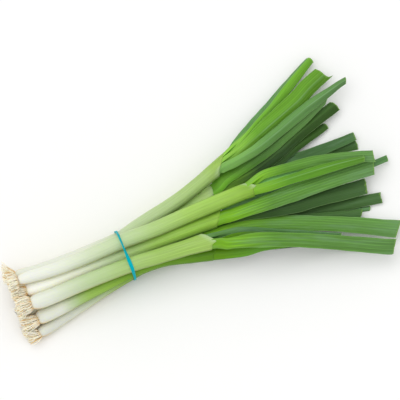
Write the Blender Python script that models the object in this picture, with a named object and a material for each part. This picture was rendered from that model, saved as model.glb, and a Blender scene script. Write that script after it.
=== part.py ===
"""A bunch of eight young leeks, tied with one elastic band and lying on its side.

Frame: +X runs along the bunch from the roots to the leaf tips, +Y is its left side and +Z is up.
The bunch rests on z = 0, and the origin is under the middle of its bounding box.
Layout values are in millimetres; the meshes are made in metres.
"""
import math
import random

import bmesh
import bpy
import numpy as np
from mathutils import Vector

COLLECTION = "leek_bunch"
METRES = 0.001

# Layout
CLEARANCE = 0.3        # air left between two pieces
SKIN = 0.35            # how far a piece's laid shape reaches past its real one, to each side and up
CELL = 0.5             # cell of the height map that pieces are laid on
PRESSED = 0.7          # what would stand less than this over the surface is pressed flat on it
FIELD = (-150, -150, 320, 150)   # the height map's xmin, ymin, xmax, ymax
ROUTE_SAMPLES = 30     # points of a smooth route between two given ones
HEADING_REACH = 2.0    # a route's heading is read from this far behind to this far ahead
UNDER_SAMPLES = (25, 9)     # places looked under, between two rings and between two columns
STAMP_SAMPLES = (61, 15)    # places marked, between two rings and between two columns
SHARP_ANGLE = 50.0     # edges over this many degrees stay sharp

# Stems
STEM_RINGS = 10        # rings past the rounded base
BEYOND_RIM = (10.0, 20.0)    # how far past the rim a stem's height is worked out, for its leaf bases
BASE_ROUND = 6.0       # length of the rounding at the root end
BASE_WAIST = 0.62      # radius of the very base, as a share of the stem's
FLARE_LENGTH = 25.0    # a flared stem widens over this length towards its rim
SLANT_LENGTH = 25.0    # length over which the rings turn to the rim's slant
SIDE_ANGLES = (15, 45, 75, 105, 135, 165)    # half of a twelve-sided section with a flat below
STEM_SLOPE = 0.1       # a stem is stiff, so it rises or falls no faster than this

# Leaves
LEAF_RINGS = 12
LEAF_CROWDING = 1.25   # the rings stand closer together towards the rim; 1 is evenly spaced
LEAF_COLUMNS = (-1.0, -0.5, 0.0, 0.5, 1.0)
LEAF_MIDDLE = 2.0      # thickness along the middle rib, near the rim
LEAF_TIP = 1.5         # and at the tip
LEAF_EDGE = 0.9        # thickness at the edges
RIB_SHAPE = 1.5        # how fast a leaf thins from its rib to its edges; 1 is a straight slope
BASE_INSET = 0.2       # how much narrower a leaf's base is than its part of the stem, on each side
WRAP_LENGTH = 55.0     # over this length a leaf opens from its part of the round stem to a flat blade
DROOP = 1 / 1100.0     # fall of a free leaf, per mm of length squared
LEAF_SLOPE = 0.2       # how fast a leaf can rise or fall
KEEL = 1.5             # how sharply a leaf's arch turns at its middle; 1 is a fold, 2 is round

# Roots
ROOT_REACH = 15.0      # length kept free past a stem's base for its roots
PLATE_LENGTH = 2.4
PLATE_WIDTH = 0.6      # radius of the plate at the stem, as a share of the stem's
PLATE_TAPER = 0.8      # its radius at the roots, as a share of that
PLATE_SIDES = 10
RING_STRANDS = ((0.45, 5), (1.0, 10))     # rings of roots: their place from the middle, their number
ROOT_SINK = 1.0        # how deep a root starts in the plate
ROOT_SPREAD = 0.9      # radius of the tuft's trimmed end, as a share of the stem's
TURN_JITTER = 0.2      # how far a root stands from its even place round the plate, in radians
STRAND_RADIUS = 0.85
STRAND_TAPER = (1.2, 1.0, 0.8)    # a root's radius at its start, middle and end, as shares of that
STRAND_LENGTH = (8.5, 13.5)
STRAND_BEND = 0.9
WELD = 0.01            # a root's corners closer than this are one

# Elastic band
BAND_WIDTH = 4.0
BAND_THICKNESS = 1.2
BAND_GAP = 0.5         # air between the band and the stems, which slope under it
BAND_STATIONS = 96
CIRCLE_POINTS = 90     # points round each stem that the band is drawn tight round
# How far the band is turned on edge, in degrees, nearest to these y and z; it turns evenly between
BAND_TURNS = ((26, 25, 0), (20, 44, 50), (3, 48, 70), (-16, 42, 0))
TURN_SMOOTHING = 12    # times that these turns are evened out between neighbouring stations
BAND_ROOM = 2.2        # height of the stems over the surface where the band runs under them

# The plants, lowest first. Each stem is its route over the surface, roots first, with its radius, how
# much thicker it is at its base and how fast that dies away, how much wider its rim is, and how far the
# rim's left side runs ahead per mm across. Each leaf is its route past the rim, the side of the stem it
# leaves (from -1, the right edge, to 1), its widths at even steps from the rim to the tip, the height of
# its arch (below 0 for a channel) and how far its cut runs ahead per mm across.
PLANTS = [
    {
        "name": "leek_1", "radius": 6.2, "bulb": (0.1, 28), "flare": 0.0, "slant": 0.45,
        "stem": [(-111, -12), (-60, -7), (0, -5.4), (50, 3), (93, -4)],
        "leaves": [
            {"route": [(135, -17), (177, -29), (210, -37.5), (246, -47)], "side": (-1, 1),
             "widths": (9, 6, 5), "arch": 1.4, "cut": 0.2},
            {"route": [(138, -18), (185, -28), (220, -34), (260, -42)], "side": (-1, 1),
             "widths": (10, 11, 10), "arch": 2.2, "cut": -0.2},
        ],
    },
    {
        "name": "leek_2", "radius": 6.1, "bulb": (0.1, 28), "flare": 0.0, "slant": 0.45,
        "stem": [(-106, -37), (-79, -31.5), (-38, -23.7), (0, -18), (50, -11.5), (80, -12)],
        "leaves": [
            {"route": [(127, -19), (176, -31), (214, -43), (236, -49)], "side": (-1, 1),
             "widths": (10, 9, 8), "arch": 1.6, "cut": 0.3},
            {"route": [(113, -15), (134, -20), (173, -35), (218, -56), (262, -78)], "side": (-1, 1),
             "widths": (12, 15, 15.5), "arch": 2.2, "cut": 0.25},
        ],
    },
    {
        "name": "leek_3", "radius": 6.6, "bulb": (0.1, 28), "flare": 0.0, "slant": 0.4,
        "stem": [(-108.5, 9.5), (-60, 8.5), (0, 8.3), (55, 19), (106, 26.5)],
        "leaves": [
            {"route": [(150, 26), (178, 30), (201, 28), (221, 25), (259, 18)], "side": (-1, 0.5),
             "widths": (10, 10, 10), "arch": 1.8, "cut": -0.1},
            {"route": [(150, 27), (189, 27), (206, 25), (241, 25), (259, 26)], "side": (-1, 1),
             "widths": (10, 9, 8), "arch": -1.4, "cut": 0.2},
            {"route": [(140, 26), (161, 28), (188, 34), (237, 47)], "side": (-1, 1),
             "widths": (10, 9, 7), "arch": 1.6, "cut": -0.3},
            {"route": [(150, 30), (181, 38), (217, 51), (253, 62)], "side": (-1, 1),
             "widths": (12, 12, 12.5), "arch": 2.4, "cut": -0.2},
            {"route": [(123, 33), (136, 36), (161, 42), (183, 48), (209, 57), (234, 66), (248.5, 71)],
             "side": (-1, 1), "widths": (11, 12, 12.5, 12, 7), "arch": 2.4, "cut": 0.2},
        ],
    },
    {
        "name": "leek_4", "radius": 7.4, "bulb": (0.1, 28), "flare": 0.13, "slant": 1.1,
        "stem": [(-110, 22), (-96, 19), (-70, 17), (-35, 16.5), (0, 17.5), (25, 22.5), (72, 31.5),
                 (112, 44), (126, 48.5)],
        "leaves": [
            {"route": [(156, 70), (183, 84.5), (201, 94), (228, 108)], "side": (0.2, 1),
             "widths": (5.5, 5, 4), "arch": -0.8, "cut": 0.2},
            {"route": [(155, 64.5), (174.5, 74.5), (193.5, 84), (212.5, 95), (232.5, 106.5), (248, 115)],
             "side": (-0.2, 0.9), "widths": (7, 7.5, 10, 11.5, 8.5), "arch": 2.2, "cut": -0.3},
            {"route": [(150, 55.5), (182, 67.5), (217, 80), (236, 89.5), (252.5, 96)],
             "side": (-0.5, 0.5), "widths": (9, 12, 16.5, 18, 16.5), "arch": 2.2, "cut": -0.1},
            {"route": [(140, 45.5), (163, 49), (188, 56.5), (221, 67.5), (243, 73.5), (262, 78), (272.5, 80)],
             "side": (-1, 0), "widths": (8.5, 9.5, 9.5, 8.5, 4.5), "arch": 2.6, "cut": 0.5},
        ],
    },
    {
        "name": "leek_5", "radius": 6.0, "bulb": (0.1, 28), "flare": 0.0, "slant": 0.45,
        "stem": [(-105, -25.5), (-76, -24), (-37, -21.5), (0, -19), (30, -20), (59, -26.5), (83, -33)],
        "leaves": [
            {"route": [(118, -41), (166, -54), (213, -73), (244, -89)], "side": (-1, 1),
             "widths": (10, 9, 8), "arch": 1.6, "cut": 0.2},
            {"route": [(111, -41.5), (132, -44.5), (167, -53), (205, -65)], "side": (-1, 1),
             "widths": (12, 11, 8), "arch": 2.2, "cut": -0.3},
        ],
    },
    {
        "name": "leek_6", "radius": 6.8, "bulb": (0.1, 28), "flare": 0.0, "slant": 0.7,
        "stem": [(-105, 5), (-80, 2.5), (-47, 2), (0, 0.5), (60, -1.5), (100, -3.5)],
        "leaves": [
            {"route": [(127, -8), (173, -18), (202, -21), (249, -26)], "side": (-1, 1),
             "widths": (13, 15, 15), "arch": 2.0, "cut": 0.2},
            {"route": [(126, 2.5), (149, 1), (207, -6.5), (250, -8), (281, -8)], "side": (0, 1),
             "widths": (7, 7, 5.5), "arch": -0.9, "cut": 0.2},
            {"route": [(113, -5), (132.5, -6), (154, -7), (175, -7.5), (222, -9.5), (263.5, -12.5)],
             "side": (-1, 1), "widths": (12.5, 14, 17, 14.5, 14), "arch": 2.4, "cut": 0.3},
        ],
    },
    {
        "name": "leek_7", "radius": 7.7, "bulb": (0.1, 28), "flare": 0.13, "slant": -0.4,
        "stem": [(-106, -10.5), (-87, -12), (-52, -12), (0, -13.5), (31, -16.5), (83, -20.5)],
        "leaves": [
            {"route": [(109, -20.5), (124, -25), (142.5, -33.5), (170, -46.5), (207, -63.5)],
             "side": (-0.1, 0.6), "widths": (5, 4.5, 3.5), "arch": 1.0, "cut": 0.2},
            {"route": [(98, -31), (111.5, -35.5), (130.5, -41.5), (152, -49.5), (184, -63.5), (235, -88),
                       (251, -95)],
             "side": (-1, 0), "widths": (8, 14.5, 14.5, 15.5, 16), "arch": 2.4, "cut": 0.25},
        ],
    },
    {
        "name": "leek_8", "radius": 8.2, "bulb": (-0.3, 70), "flare": 0.0, "slant": -0.6,
        "stem": [(-110, 15), (-76, 11.5), (-43, 10.5), (0, 11.5), (36, 10.5), (77, 11.5), (123, 12),
                 (139, 11.5)],
        "leaves": [
            {"route": [(154, 13.5), (173, 12.5), (193.5, 10), (219, 6), (240, 2)], "side": (-0.3, 0.3),
             "widths": (6, 5, 4), "arch": 0.9, "cut": 0.2},
            {"route": [(156.5, 20), (175, 19), (196, 16.5), (216, 13.5), (246, 6), (267.5, -1.5)],
             "side": (-0.1, 1), "widths": (9, 9.5, 8.5), "arch": 2.0, "cut": -0.3},
            {"route": [(159, 6.5), (175, 5.5), (196, 4), (227.5, 1.5), (257, -2)],
             "side": (-1, 0.2), "widths": (9.6, 9, 9.3, 8.4, 5), "arch": 2.4, "cut": 0.2},
        ],
    },
]

# Colours of the pieces: red, green, blue
SHANK_COLOUR = (0.62, 0.72, 0.38)
LEAF_COLOUR = (0.14, 0.30, 0.08)
ROOT_COLOUR = (0.72, 0.60, 0.38)
BAND_COLOUR = (0.0, 0.42, 0.52)


class HeightMap:
    """The top of everything laid so far, cell by cell."""

    def __init__(self):
        xmin, ymin, xmax, ymax = FIELD
        columns = int((xmax - xmin) / CELL)
        rows = int((ymax - ymin) / CELL)
        self.top = np.full((columns, rows), -CLEARANCE)
        under_band = abs(xmin + CELL * np.arange(columns)) < BAND_WIDTH
        self.top[under_band, :] += BAND_ROOM

    def cells(self, x, y):
        return (np.rint((x - FIELD[0]) / CELL).astype(int), np.rint((y - FIELD[1]) / CELL).astype(int))

    def under(self, x, y):
        return self.top[self.cells(x, y)]

    def raise_to(self, x, y, height):
        np.maximum.at(self.top, self.cells(x, y), height)


def smooth_route(points):
    """A smooth curve through the points, as closely spaced points with their distance along it."""
    points = np.array(points, float)
    first = 2 * points[0] - points[1]
    last = 2 * points[-1] - points[-2]
    padded = np.vstack([first, points, last])
    curve = []
    for k in range(len(points) - 1):
        a, b, c, d = padded[k:k + 4]
        t = np.linspace(0, 1, ROUTE_SAMPLES, endpoint=False)[:, None]
        curve.append(0.5 * (2 * b + (c - a) * t + (2 * a - 5 * b + 4 * c - d) * t ** 2
                            + (3 * b - a - 3 * c + d) * t ** 3))
    curve.append(points[-1:])
    curve = np.vstack(curve)
    along = np.concatenate([[0], np.cumsum(np.hypot(*np.diff(curve, axis=0).T))])
    return curve, along


def on_route(route, distances):
    """Points and headings at these distances; past either end the route runs straight."""
    curve, along = route
    inside = np.clip(distances, 0, along[-1])
    points = np.column_stack([np.interp(inside, along, curve[:, axis]) for axis in (0, 1)])
    ahead = np.clip(inside + HEADING_REACH, 0, along[-1])
    behind = np.clip(inside - HEADING_REACH, 0, along[-1])
    heading = np.column_stack([np.interp(ahead, along, curve[:, axis])
                               - np.interp(behind, along, curve[:, axis]) for axis in (0, 1)])
    heading /= np.hypot(*heading.T)[:, None]
    points += heading * (distances - inside)[:, None]
    return points, heading


def make_rings(centres, heading, across, low, high, slant):
    """Rings of a piece: x, y of each column, and its lower and upper side over the axis."""
    left = np.column_stack([-heading[:, 1], heading[:, 0]])
    x = centres[:, 0, None] + left[:, 0, None] * across + heading[:, 0, None] * across * slant[:, None]
    y = centres[:, 1, None] + left[:, 1, None] * across + heading[:, 1, None] * across * slant[:, None]
    return {"x": x, "y": y, "low": low, "high": high}


def between_rings(ring_values, shares, column_shares):
    """Values between neighbouring rings and columns, as (gap, share, column gap, column share)."""
    a = ring_values[:-1, None, :-1, None]
    b = ring_values[1:, None, :-1, None]
    c = ring_values[:-1, None, 1:, None]
    d = ring_values[1:, None, 1:, None]
    s = shares[None, :, None, None]
    t = column_shares[None, None, None, :]
    return (a * (1 - s) + b * s) * (1 - t) + (c * (1 - s) + d * s) * t


def needed_heights(rings, field):
    """The lowest axis height of each gap between rings that clears what lies below."""
    shares, column_shares = [np.linspace(0, 1, count) for count in UNDER_SAMPLES]
    x = between_rings(rings["x"], shares, column_shares)
    y = between_rings(rings["y"], shares, column_shares)
    low = between_rings(rings["low"], shares, column_shares)
    return (field.under(x, y) + CLEARANCE - low).max(axis=(1, 2, 3))


def lay(rings, field, distances, least, slope):
    """Lay a piece on the height map: its axis height at each ring, smooth and never too low."""
    gaps = needed_heights(rings, field)
    at_ring = np.maximum(np.append(gaps, gaps[-1]), np.insert(gaps, 0, gaps[0]))
    at_ring = np.maximum(at_ring, least)
    reach = slope * np.abs(distances[:, None] - distances[None, :])
    at_ring = (at_ring[None, :] - reach).max(axis=1)
    padded = np.pad(at_ring, 1, mode="edge")
    widest = np.maximum(np.maximum(padded[:-2], padded[1:-1]), padded[2:])
    padded = np.pad(widest, 1, mode="edge")
    return (padded[:-2] + 2 * padded[1:-1] + padded[2:]) / 4


def press_flat(rings, heights):
    """Bring the lower side down to the surface where it would almost touch it."""
    lower = rings["low"] + heights[:, None]
    rings["low"] = np.where(lower < PRESSED, -heights[:, None], rings["low"])


def stamp(rings, heights, field):
    """Mark a laid piece on the height map, grown by the skin on all sides."""
    x, y = rings["x"], rings["y"]
    across = x[:, -1:] - x[:, :1], y[:, -1:] - y[:, :1]
    side = across / np.hypot(*across) * SKIN
    x = np.hstack([x[:, :1] - side[0], x, x[:, -1:] + side[0]])
    y = np.hstack([y[:, :1] - side[1], y, y[:, -1:] + side[1]])
    high = rings["high"] + heights[:, None] + SKIN
    high = np.hstack([high[:, :1], high, high[:, -1:]])
    shares, column_shares = [np.linspace(0, 1, count) for count in STAMP_SAMPLES]
    field.raise_to(between_rings(x, shares, column_shares), between_rings(y, shares, column_shares),
                   between_rings(high, shares, column_shares))


def stem_radius(plant, distances, length):
    """A stem's radius along its length: a rounded base, a bulb or a waist past it, a flare at the rim."""
    swell, swell_length = plant["bulb"]
    thicker = swell * np.exp(-np.maximum(distances, 0) / swell_length)
    wider = plant["flare"] * np.clip((distances - length) / FLARE_LENGTH + 1, 0, 1)
    inward = np.clip(1 - distances / BASE_ROUND, 0, 1)
    rounding = BASE_WAIST + (1 - BASE_WAIST) * np.sqrt(1 - inward ** 2)
    return plant["radius"] * (1 + thicker + wider) * np.where(distances < 0, 1.0, rounding)


def lay_stem(plant, field):
    """Rings of a stem, laid on what is below it, with the room its roots and leaf bases need."""
    route = smooth_route(plant["stem"])
    length = route[1][-1]
    base = np.array([-ROOT_REACH, -ROOT_REACH / 2, 0, BASE_ROUND / 5, BASE_ROUND])
    run = np.linspace(BASE_ROUND, length, STEM_RINGS + 1)[1:]
    beyond = length + np.array(BEYOND_RIM)
    distances = np.concatenate([base, run, beyond])
    radii = stem_radius(plant, distances, length)
    angles = np.radians(SIDE_ANGLES)
    across = -radii[:, None] * np.cos(angles)
    high = radii[:, None] * np.sin(angles)
    slant = plant["slant"] * np.clip((distances - length) / SLANT_LENGTH + 1, 0, 1)
    centres, heading = on_route(route, distances)
    rings = make_rings(centres, heading, across, -high, high, slant)
    heights = lay(rings, field, distances, -np.inf, STEM_SLOPE)
    press_flat(rings, heights)
    first, last = 2, len(distances) - 2
    stem = {key: values[first:last] for key, values in rings.items()}
    with_roots = {key: values[:last] for key, values in rings.items()}
    return {"rings": stem, "heights": heights[first:last], "radii": radii[first:last],
            "with_roots": (with_roots, heights[:last]),
            "end": centres[last - 1], "heading": heading[last - 1]}


def leaf_share(index, count, radius):
    """The lower and upper limit of one leaf's part of the round stem, from its axis."""
    edges = np.linspace(-radius, radius, count + 1)
    gap = (CLEARANCE + SKIN) / 2
    low = edges[index] + (gap if index > 0 else 0)
    high = edges[index + 1] - (gap if index < count - 1 else 0)
    return low, high


def leaf_base(side, radius, low, high):
    """How far left of the stem's axis the middle of a leaf's base is, and half the base's width."""
    nearest = min(abs(low), abs(high)) if low * high > 0 else 0.0
    reach = math.sqrt(radius ** 2 - nearest ** 2) - BASE_INSET
    right, left = [max(-reach, min(reach, share * radius)) for share in side]
    return (right + left) / 2, (left - right) / 2


def leaf_route(plant, stem, leaf, middle):
    """A leaf's route with its distance at the rim; it starts this far left of the stem's axis."""
    heading = stem["heading"]
    shift = middle * (np.array([-heading[1], heading[0]]) + heading * plant["slant"])
    before, end = np.array(plant["stem"][-2:]) + shift
    curve, along = smooth_route([before, end] + leaf["route"])
    at_rim = np.argmin(np.hypot(*(curve - end).T))
    return (curve, along), along[at_rim] + CLEARANCE, end


def lay_leaf(plant, stem, index, field):
    """Rings of a leaf, from its part of the stem's rim to its cut tip, laid on what is below it."""
    leaf = plant["leaves"][index]
    radius = stem["radii"][-1]
    share_low, share_high = leaf_share(index, len(plant["leaves"]), radius)
    base_middle, base_half = leaf_base(leaf["side"], radius, share_low, share_high)
    route, start, base_centre = leaf_route(plant, stem, leaf, base_middle)
    length = route[1][-1] - start
    distances = length * np.linspace(0, 1, LEAF_RINGS) ** LEAF_CROWDING
    opened = np.clip(distances / WRAP_LENGTH, 0, 1)
    opened = (opened * opened * (3 - 2 * opened))[:, None]

    columns = np.array(LEAF_COLUMNS)
    round_side = np.sqrt(np.maximum(radius ** 2 - (base_middle + base_half * columns) ** 2, 0))
    base_low = np.maximum(share_low, -round_side)
    base_high = np.minimum(share_high, round_side)
    thin = np.maximum(LEAF_EDGE - (base_high - base_low), 0) / 2
    base_low, base_high = base_low - thin, base_high + thin

    out = distances / length
    half = np.interp(out, np.linspace(0, 1, len(leaf["widths"])), leaf["widths"])[:, None] / 2
    half = base_half + (half - base_half) * opened
    rib = LEAF_MIDDLE + (LEAF_TIP - LEAF_MIDDLE) * out[:, None]
    thickness = LEAF_EDGE + (rib - LEAF_EDGE) * (1 - np.abs(columns) ** RIB_SHAPE)
    bow = leaf["arch"] * (1 - np.abs(columns) ** KEEL)
    level = (share_low + share_high) / 2
    low = base_low * (1 - opened) + (level + bow - thickness / 2) * opened
    high = base_high * (1 - opened) + (level + bow + thickness / 2) * opened

    slant = plant["slant"] * (1 - opened[:, 0]) + leaf["cut"] * np.clip(3 * out - 2, 0, 1)
    centres, heading = on_route(route, start + distances)
    heading[0] = stem["heading"]
    centres[0] = base_centre + stem["heading"] * CLEARANCE
    rings = make_rings(centres, heading, half * columns, low, high, slant)
    rim_height = stem["heights"][-1]
    heights = lay(rings, field, distances, rim_height - DROOP * distances ** 2, LEAF_SLOPE)
    heights[0] = rim_height
    press_flat(rings, heights)
    stamp(rings, heights, field)
    return {"rings": rings, "heights": heights, "distances": distances}


def lay_bunch():
    """Lay every stem and its leaves, lowest plant first."""
    field = HeightMap()
    bunch = []
    for plant in PLANTS:
        stem = lay_stem(plant, field)
        leaves = [lay_leaf(plant, stem, index, field) for index in range(len(plant["leaves"]))]
        stamp(*stem["with_roots"], field)
        bunch.append({"name": plant["name"], "stem": stem, "leaves": leaves})
    return bunch


def make_material(name, colour, roughness):
    material = bpy.data.materials.new(name)
    material.use_nodes = True
    shader = material.node_tree.nodes["Principled BSDF"]
    shader.inputs["Base Color"].default_value = (*colour, 1.0)
    shader.inputs["Roughness"].default_value = roughness
    shader.inputs["Metallic"].default_value = 0.0
    return material


def add_object(name, mesh, material, collection, parent):
    mesh.materials.append(material)
    mesh.shade_smooth()
    mesh.set_sharp_from_angle(angle=math.radians(SHARP_ANGLE))
    obj = bpy.data.objects.new(name, mesh)
    collection.objects.link(obj)
    obj.parent = parent


def loft_mesh(name, piece):
    """A closed solid through a piece's rings, its two faces split into triangles alike."""
    rings, heights = piece["rings"], piece["heights"]
    bm = bmesh.new()
    upper = []
    lower = []
    for x, y, low, high, axis in zip(rings["x"], rings["y"], rings["low"], rings["high"], heights):
        upper.append([bm.verts.new(Vector((a, b, axis + c)) * METRES) for a, b, c in zip(x, y, high)])
        lower.append([bm.verts.new(Vector((a, b, axis + c)) * METRES) for a, b, c in zip(x, y, low)])
    last = len(upper[0]) - 1
    for k in range(len(upper) - 1):
        for j in range(last):
            bm.faces.new((upper[k][j], upper[k + 1][j], upper[k + 1][j + 1]))
            bm.faces.new((upper[k][j], upper[k + 1][j + 1], upper[k][j + 1]))
            bm.faces.new((lower[k][j], lower[k + 1][j + 1], lower[k + 1][j]))
            bm.faces.new((lower[k][j], lower[k][j + 1], lower[k + 1][j + 1]))
        for j in (0, last):
            bm.faces.new((upper[k][j], upper[k + 1][j], lower[k + 1][j]))
            bm.faces.new((upper[k][j], lower[k + 1][j], lower[k][j]))
    for k in (0, -1):
        for j in range(last):
            bm.faces.new((upper[k][j], upper[k][j + 1], lower[k][j + 1], lower[k][j]))
    bmesh.ops.recalc_face_normals(bm, faces=bm.faces)
    mesh = bpy.data.meshes.new(name)
    bm.to_mesh(mesh)
    bm.free()
    return mesh


def clear_scene():
    for obj in list(bpy.data.objects):
        bpy.data.objects.remove(obj, do_unlink=True)


def add_stems_and_leaves(bunch, collection, parent):
    shank = make_material("shank", SHANK_COLOUR, 0.45)
    blade = make_material("leaf", LEAF_COLOUR, 0.5)
    for plant in bunch:
        name = plant["name"] + "_stem"
        add_object(name, loft_mesh(name, plant["stem"]), shank, collection, parent)
        for number, leaf in enumerate(plant["leaves"], start=1):
            name = f"{plant['name']}_leaf_{number}"
            add_object(name, loft_mesh(name, leaf), blade, collection, parent)


def base_of(stem):
    """Centre of a stem's base and its heading, both at the height of the base's axis."""
    rings, height = stem["rings"], stem["heights"][0]
    centres = [Vector((rings["x"][k].mean(), rings["y"][k].mean(), height)) for k in (0, 2)]
    return centres[0], (centres[1] - centres[0]).normalized()


def add_plate(stem, collection):
    """The small woody plate at a stem's base, a short cylinder that faces the stem."""
    centre, heading = base_of(stem)
    bm = bmesh.new()
    radius = PLATE_WIDTH * stem["radii"][2] * METRES
    bmesh.ops.create_cone(bm, cap_ends=True, segments=PLATE_SIDES, radius1=PLATE_TAPER * radius,
                          radius2=radius, depth=PLATE_LENGTH * METRES)
    mesh = bpy.data.meshes.new("plate")
    bm.to_mesh(mesh)
    bm.free()
    plate = bpy.data.objects.new("plate", mesh)
    plate.rotation_euler = heading.to_track_quat("Z", "Y").to_euler()
    plate.location = (centre - heading * (PLATE_LENGTH / 2 + CLEARANCE)) * METRES
    collection.objects.link(plate)
    return plate


def add_strand(rng, stem, turn, ring_share, collection):
    """One trimmed root: a thin tube that leaves the plate and bends a little."""
    centre, heading = base_of(stem)
    side = heading.cross(Vector((0, 0, 1))).normalized()
    up = side.cross(heading)
    outward = side * math.cos(turn) + up * math.sin(turn)
    radius = stem["radii"][2]
    start = centre + outward * radius * PLATE_WIDTH * PLATE_TAPER * ring_share
    start -= heading * (CLEARANCE + ROOT_SINK)
    length = rng.uniform(*STRAND_LENGTH)
    end = centre + outward * radius * ROOT_SPREAD * ring_share - heading * length
    bend = side * rng.uniform(-STRAND_BEND, STRAND_BEND) + up * rng.uniform(-STRAND_BEND, STRAND_BEND)
    middle = start.lerp(end, 0.5) + bend

    curve = bpy.data.curves.new("strand", "CURVE")
    curve.dimensions = "3D"
    curve.bevel_depth = STRAND_RADIUS * METRES
    curve.bevel_resolution = 0
    curve.use_fill_caps = True
    spline = curve.splines.new("POLY")
    spline.points.add(2)
    for point, place, thickness in zip(spline.points, (start, middle, end), STRAND_TAPER):
        point.co = (*(place * METRES), 1)
        point.radius = thickness
    drawn = bpy.data.objects.new("drawn_strand", curve)
    collection.objects.link(drawn)
    bpy.context.view_layer.update()
    evaluated = drawn.evaluated_get(bpy.context.evaluated_depsgraph_get())
    mesh = bpy.data.meshes.new_from_object(evaluated)
    bm = bmesh.new()
    bm.from_mesh(mesh)
    bmesh.ops.remove_doubles(bm, verts=bm.verts, dist=WELD * METRES)
    bm.to_mesh(mesh)
    bm.free()
    strand = bpy.data.objects.new("strand", mesh)
    strand.matrix_world = drawn.matrix_world
    bpy.data.objects.remove(drawn, do_unlink=True)
    collection.objects.link(strand)


def add_roots(plant, number, material, collection, parent):
    """A plant's trimmed roots, fused with the plate that they grow from."""
    rng = random.Random(number)
    strands = bpy.data.collections.new(plant["name"] + "_strands")
    bpy.context.scene.collection.children.link(strands)
    plate = add_plate(plant["stem"], collection)
    for ring_share, count in RING_STRANDS:
        for k in range(count):
            turn = 2 * math.pi * k / count + rng.uniform(-TURN_JITTER, TURN_JITTER)
            add_strand(rng, plant["stem"], turn, ring_share, strands)
    union = plate.modifiers.new("union", "BOOLEAN")
    union.operation = "UNION"
    union.operand_type = "COLLECTION"
    union.collection = strands
    union.solver = "EXACT"
    bpy.context.view_layer.update()
    evaluated = plate.evaluated_get(bpy.context.evaluated_depsgraph_get())
    mesh = bpy.data.meshes.new_from_object(evaluated)
    mesh.transform(plate.matrix_world)
    bpy.data.objects.remove(plate, do_unlink=True)
    for strand in list(strands.objects):
        bpy.data.objects.remove(strand, do_unlink=True)
    bpy.data.collections.remove(strands)
    mesh.materials.clear()
    add_object(plant["name"] + "_roots", mesh, material, collection, parent)


def stem_circles_at_band(bunch):
    """Each stem's section where the band crosses it, as y, z and radius."""
    circles = []
    for plant in bunch:
        stem = plant["stem"]
        x = stem["rings"]["x"].mean(axis=1)
        y = stem["rings"]["y"].mean(axis=1)
        for edge in (-BAND_WIDTH / 2, BAND_WIDTH / 2):
            circles.append([np.interp(edge, x, values) for values in (y, stem["heights"], stem["radii"])])
    return circles


def convex_outline(points):
    """The points of the convex hull, counter-clockwise."""
    points = sorted(map(tuple, points))
    outline = []
    for run in (points, points[::-1]):
        chain = []
        for p in run:
            while len(chain) > 1 and ((chain[-1][0] - chain[-2][0]) * (p[1] - chain[-2][1])
                                      - (chain[-1][1] - chain[-2][1]) * (p[0] - chain[-2][0])) <= 0:
                chain.pop()
            chain.append(p)
        outline += chain[:-1]
    return np.array(outline)


def band_path(bunch):
    """Evenly spaced points of the band's middle line, drawn tight round the stems."""
    margin = BAND_GAP + BAND_THICKNESS / 2
    turns = np.linspace(0, 2 * np.pi, CIRCLE_POINTS, endpoint=False)
    points = [(y + (r + margin) * np.cos(t), z + (r + margin) * np.sin(t))
              for y, z, r in stem_circles_at_band(bunch) for t in turns]
    outline = convex_outline(points)
    closed = np.vstack([outline, outline[:1]])
    along = np.concatenate([[0], np.cumsum(np.hypot(*np.diff(closed, axis=0).T))])
    places = np.linspace(0, along[-1], BAND_STATIONS, endpoint=False)
    return np.column_stack([np.interp(places, along, closed[:, axis]) for axis in (0, 1)])


def band_rolls(path):
    """How far the band is turned on edge at each of its points, in radians."""
    places = [np.argmin(np.hypot(path[:, 0] - y, path[:, 1] - z)) for y, z, degrees in BAND_TURNS]
    degrees = [turn[2] for turn in BAND_TURNS]
    rolls = np.interp(np.arange(BAND_STATIONS), places, degrees, period=BAND_STATIONS)
    for _ in range(TURN_SMOOTHING):
        rolls = (np.roll(rolls, 1) + 2 * rolls + np.roll(rolls, -1)) / 4
    return np.radians(rolls)


def add_band(bunch, collection, parent):
    """The elastic band: a flat strip swept round the stems and closed on itself."""
    path = band_path(bunch)
    rolls = band_rolls(path)
    material = make_material("band", BAND_COLOUR, 0.4)
    bm = bmesh.new()
    loops = []
    for k, (y, z) in enumerate(path):
        ahead = path[(k + 1) % BAND_STATIONS] - path[k - 1]
        ahead /= np.hypot(*ahead)
        straight_out = Vector((0, ahead[1], -ahead[0]))
        outward = straight_out * math.cos(rolls[k]) + Vector((1, 0, 0)) * math.sin(rolls[k])
        along_stems = Vector((1, 0, 0)) * math.cos(rolls[k]) - straight_out * math.sin(rolls[k])
        lift = abs(math.sin(rolls[k])) * BAND_WIDTH / 2 - (1 - math.cos(rolls[k])) * BAND_THICKNESS / 2
        centre = Vector((0, y, z)) + straight_out * lift
        corners = []
        for wide, deep in ((1, 1), (-1, 1), (-1, -1), (1, -1)):
            corner = centre + along_stems * wide * BAND_WIDTH / 2 + outward * deep * BAND_THICKNESS / 2
            corners.append(bm.verts.new(corner * METRES))
        loops.append(corners)
    for k, loop in enumerate(loops):
        following = loops[(k + 1) % BAND_STATIONS]
        for j in range(4):
            bm.faces.new((loop[j], loop[(j + 1) % 4], following[(j + 1) % 4], following[j]))
    bmesh.ops.recalc_face_normals(bm, faces=bm.faces)
    mesh = bpy.data.meshes.new("band")
    bm.to_mesh(mesh)
    bm.free()
    add_object("band", mesh, material, collection, parent)


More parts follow.
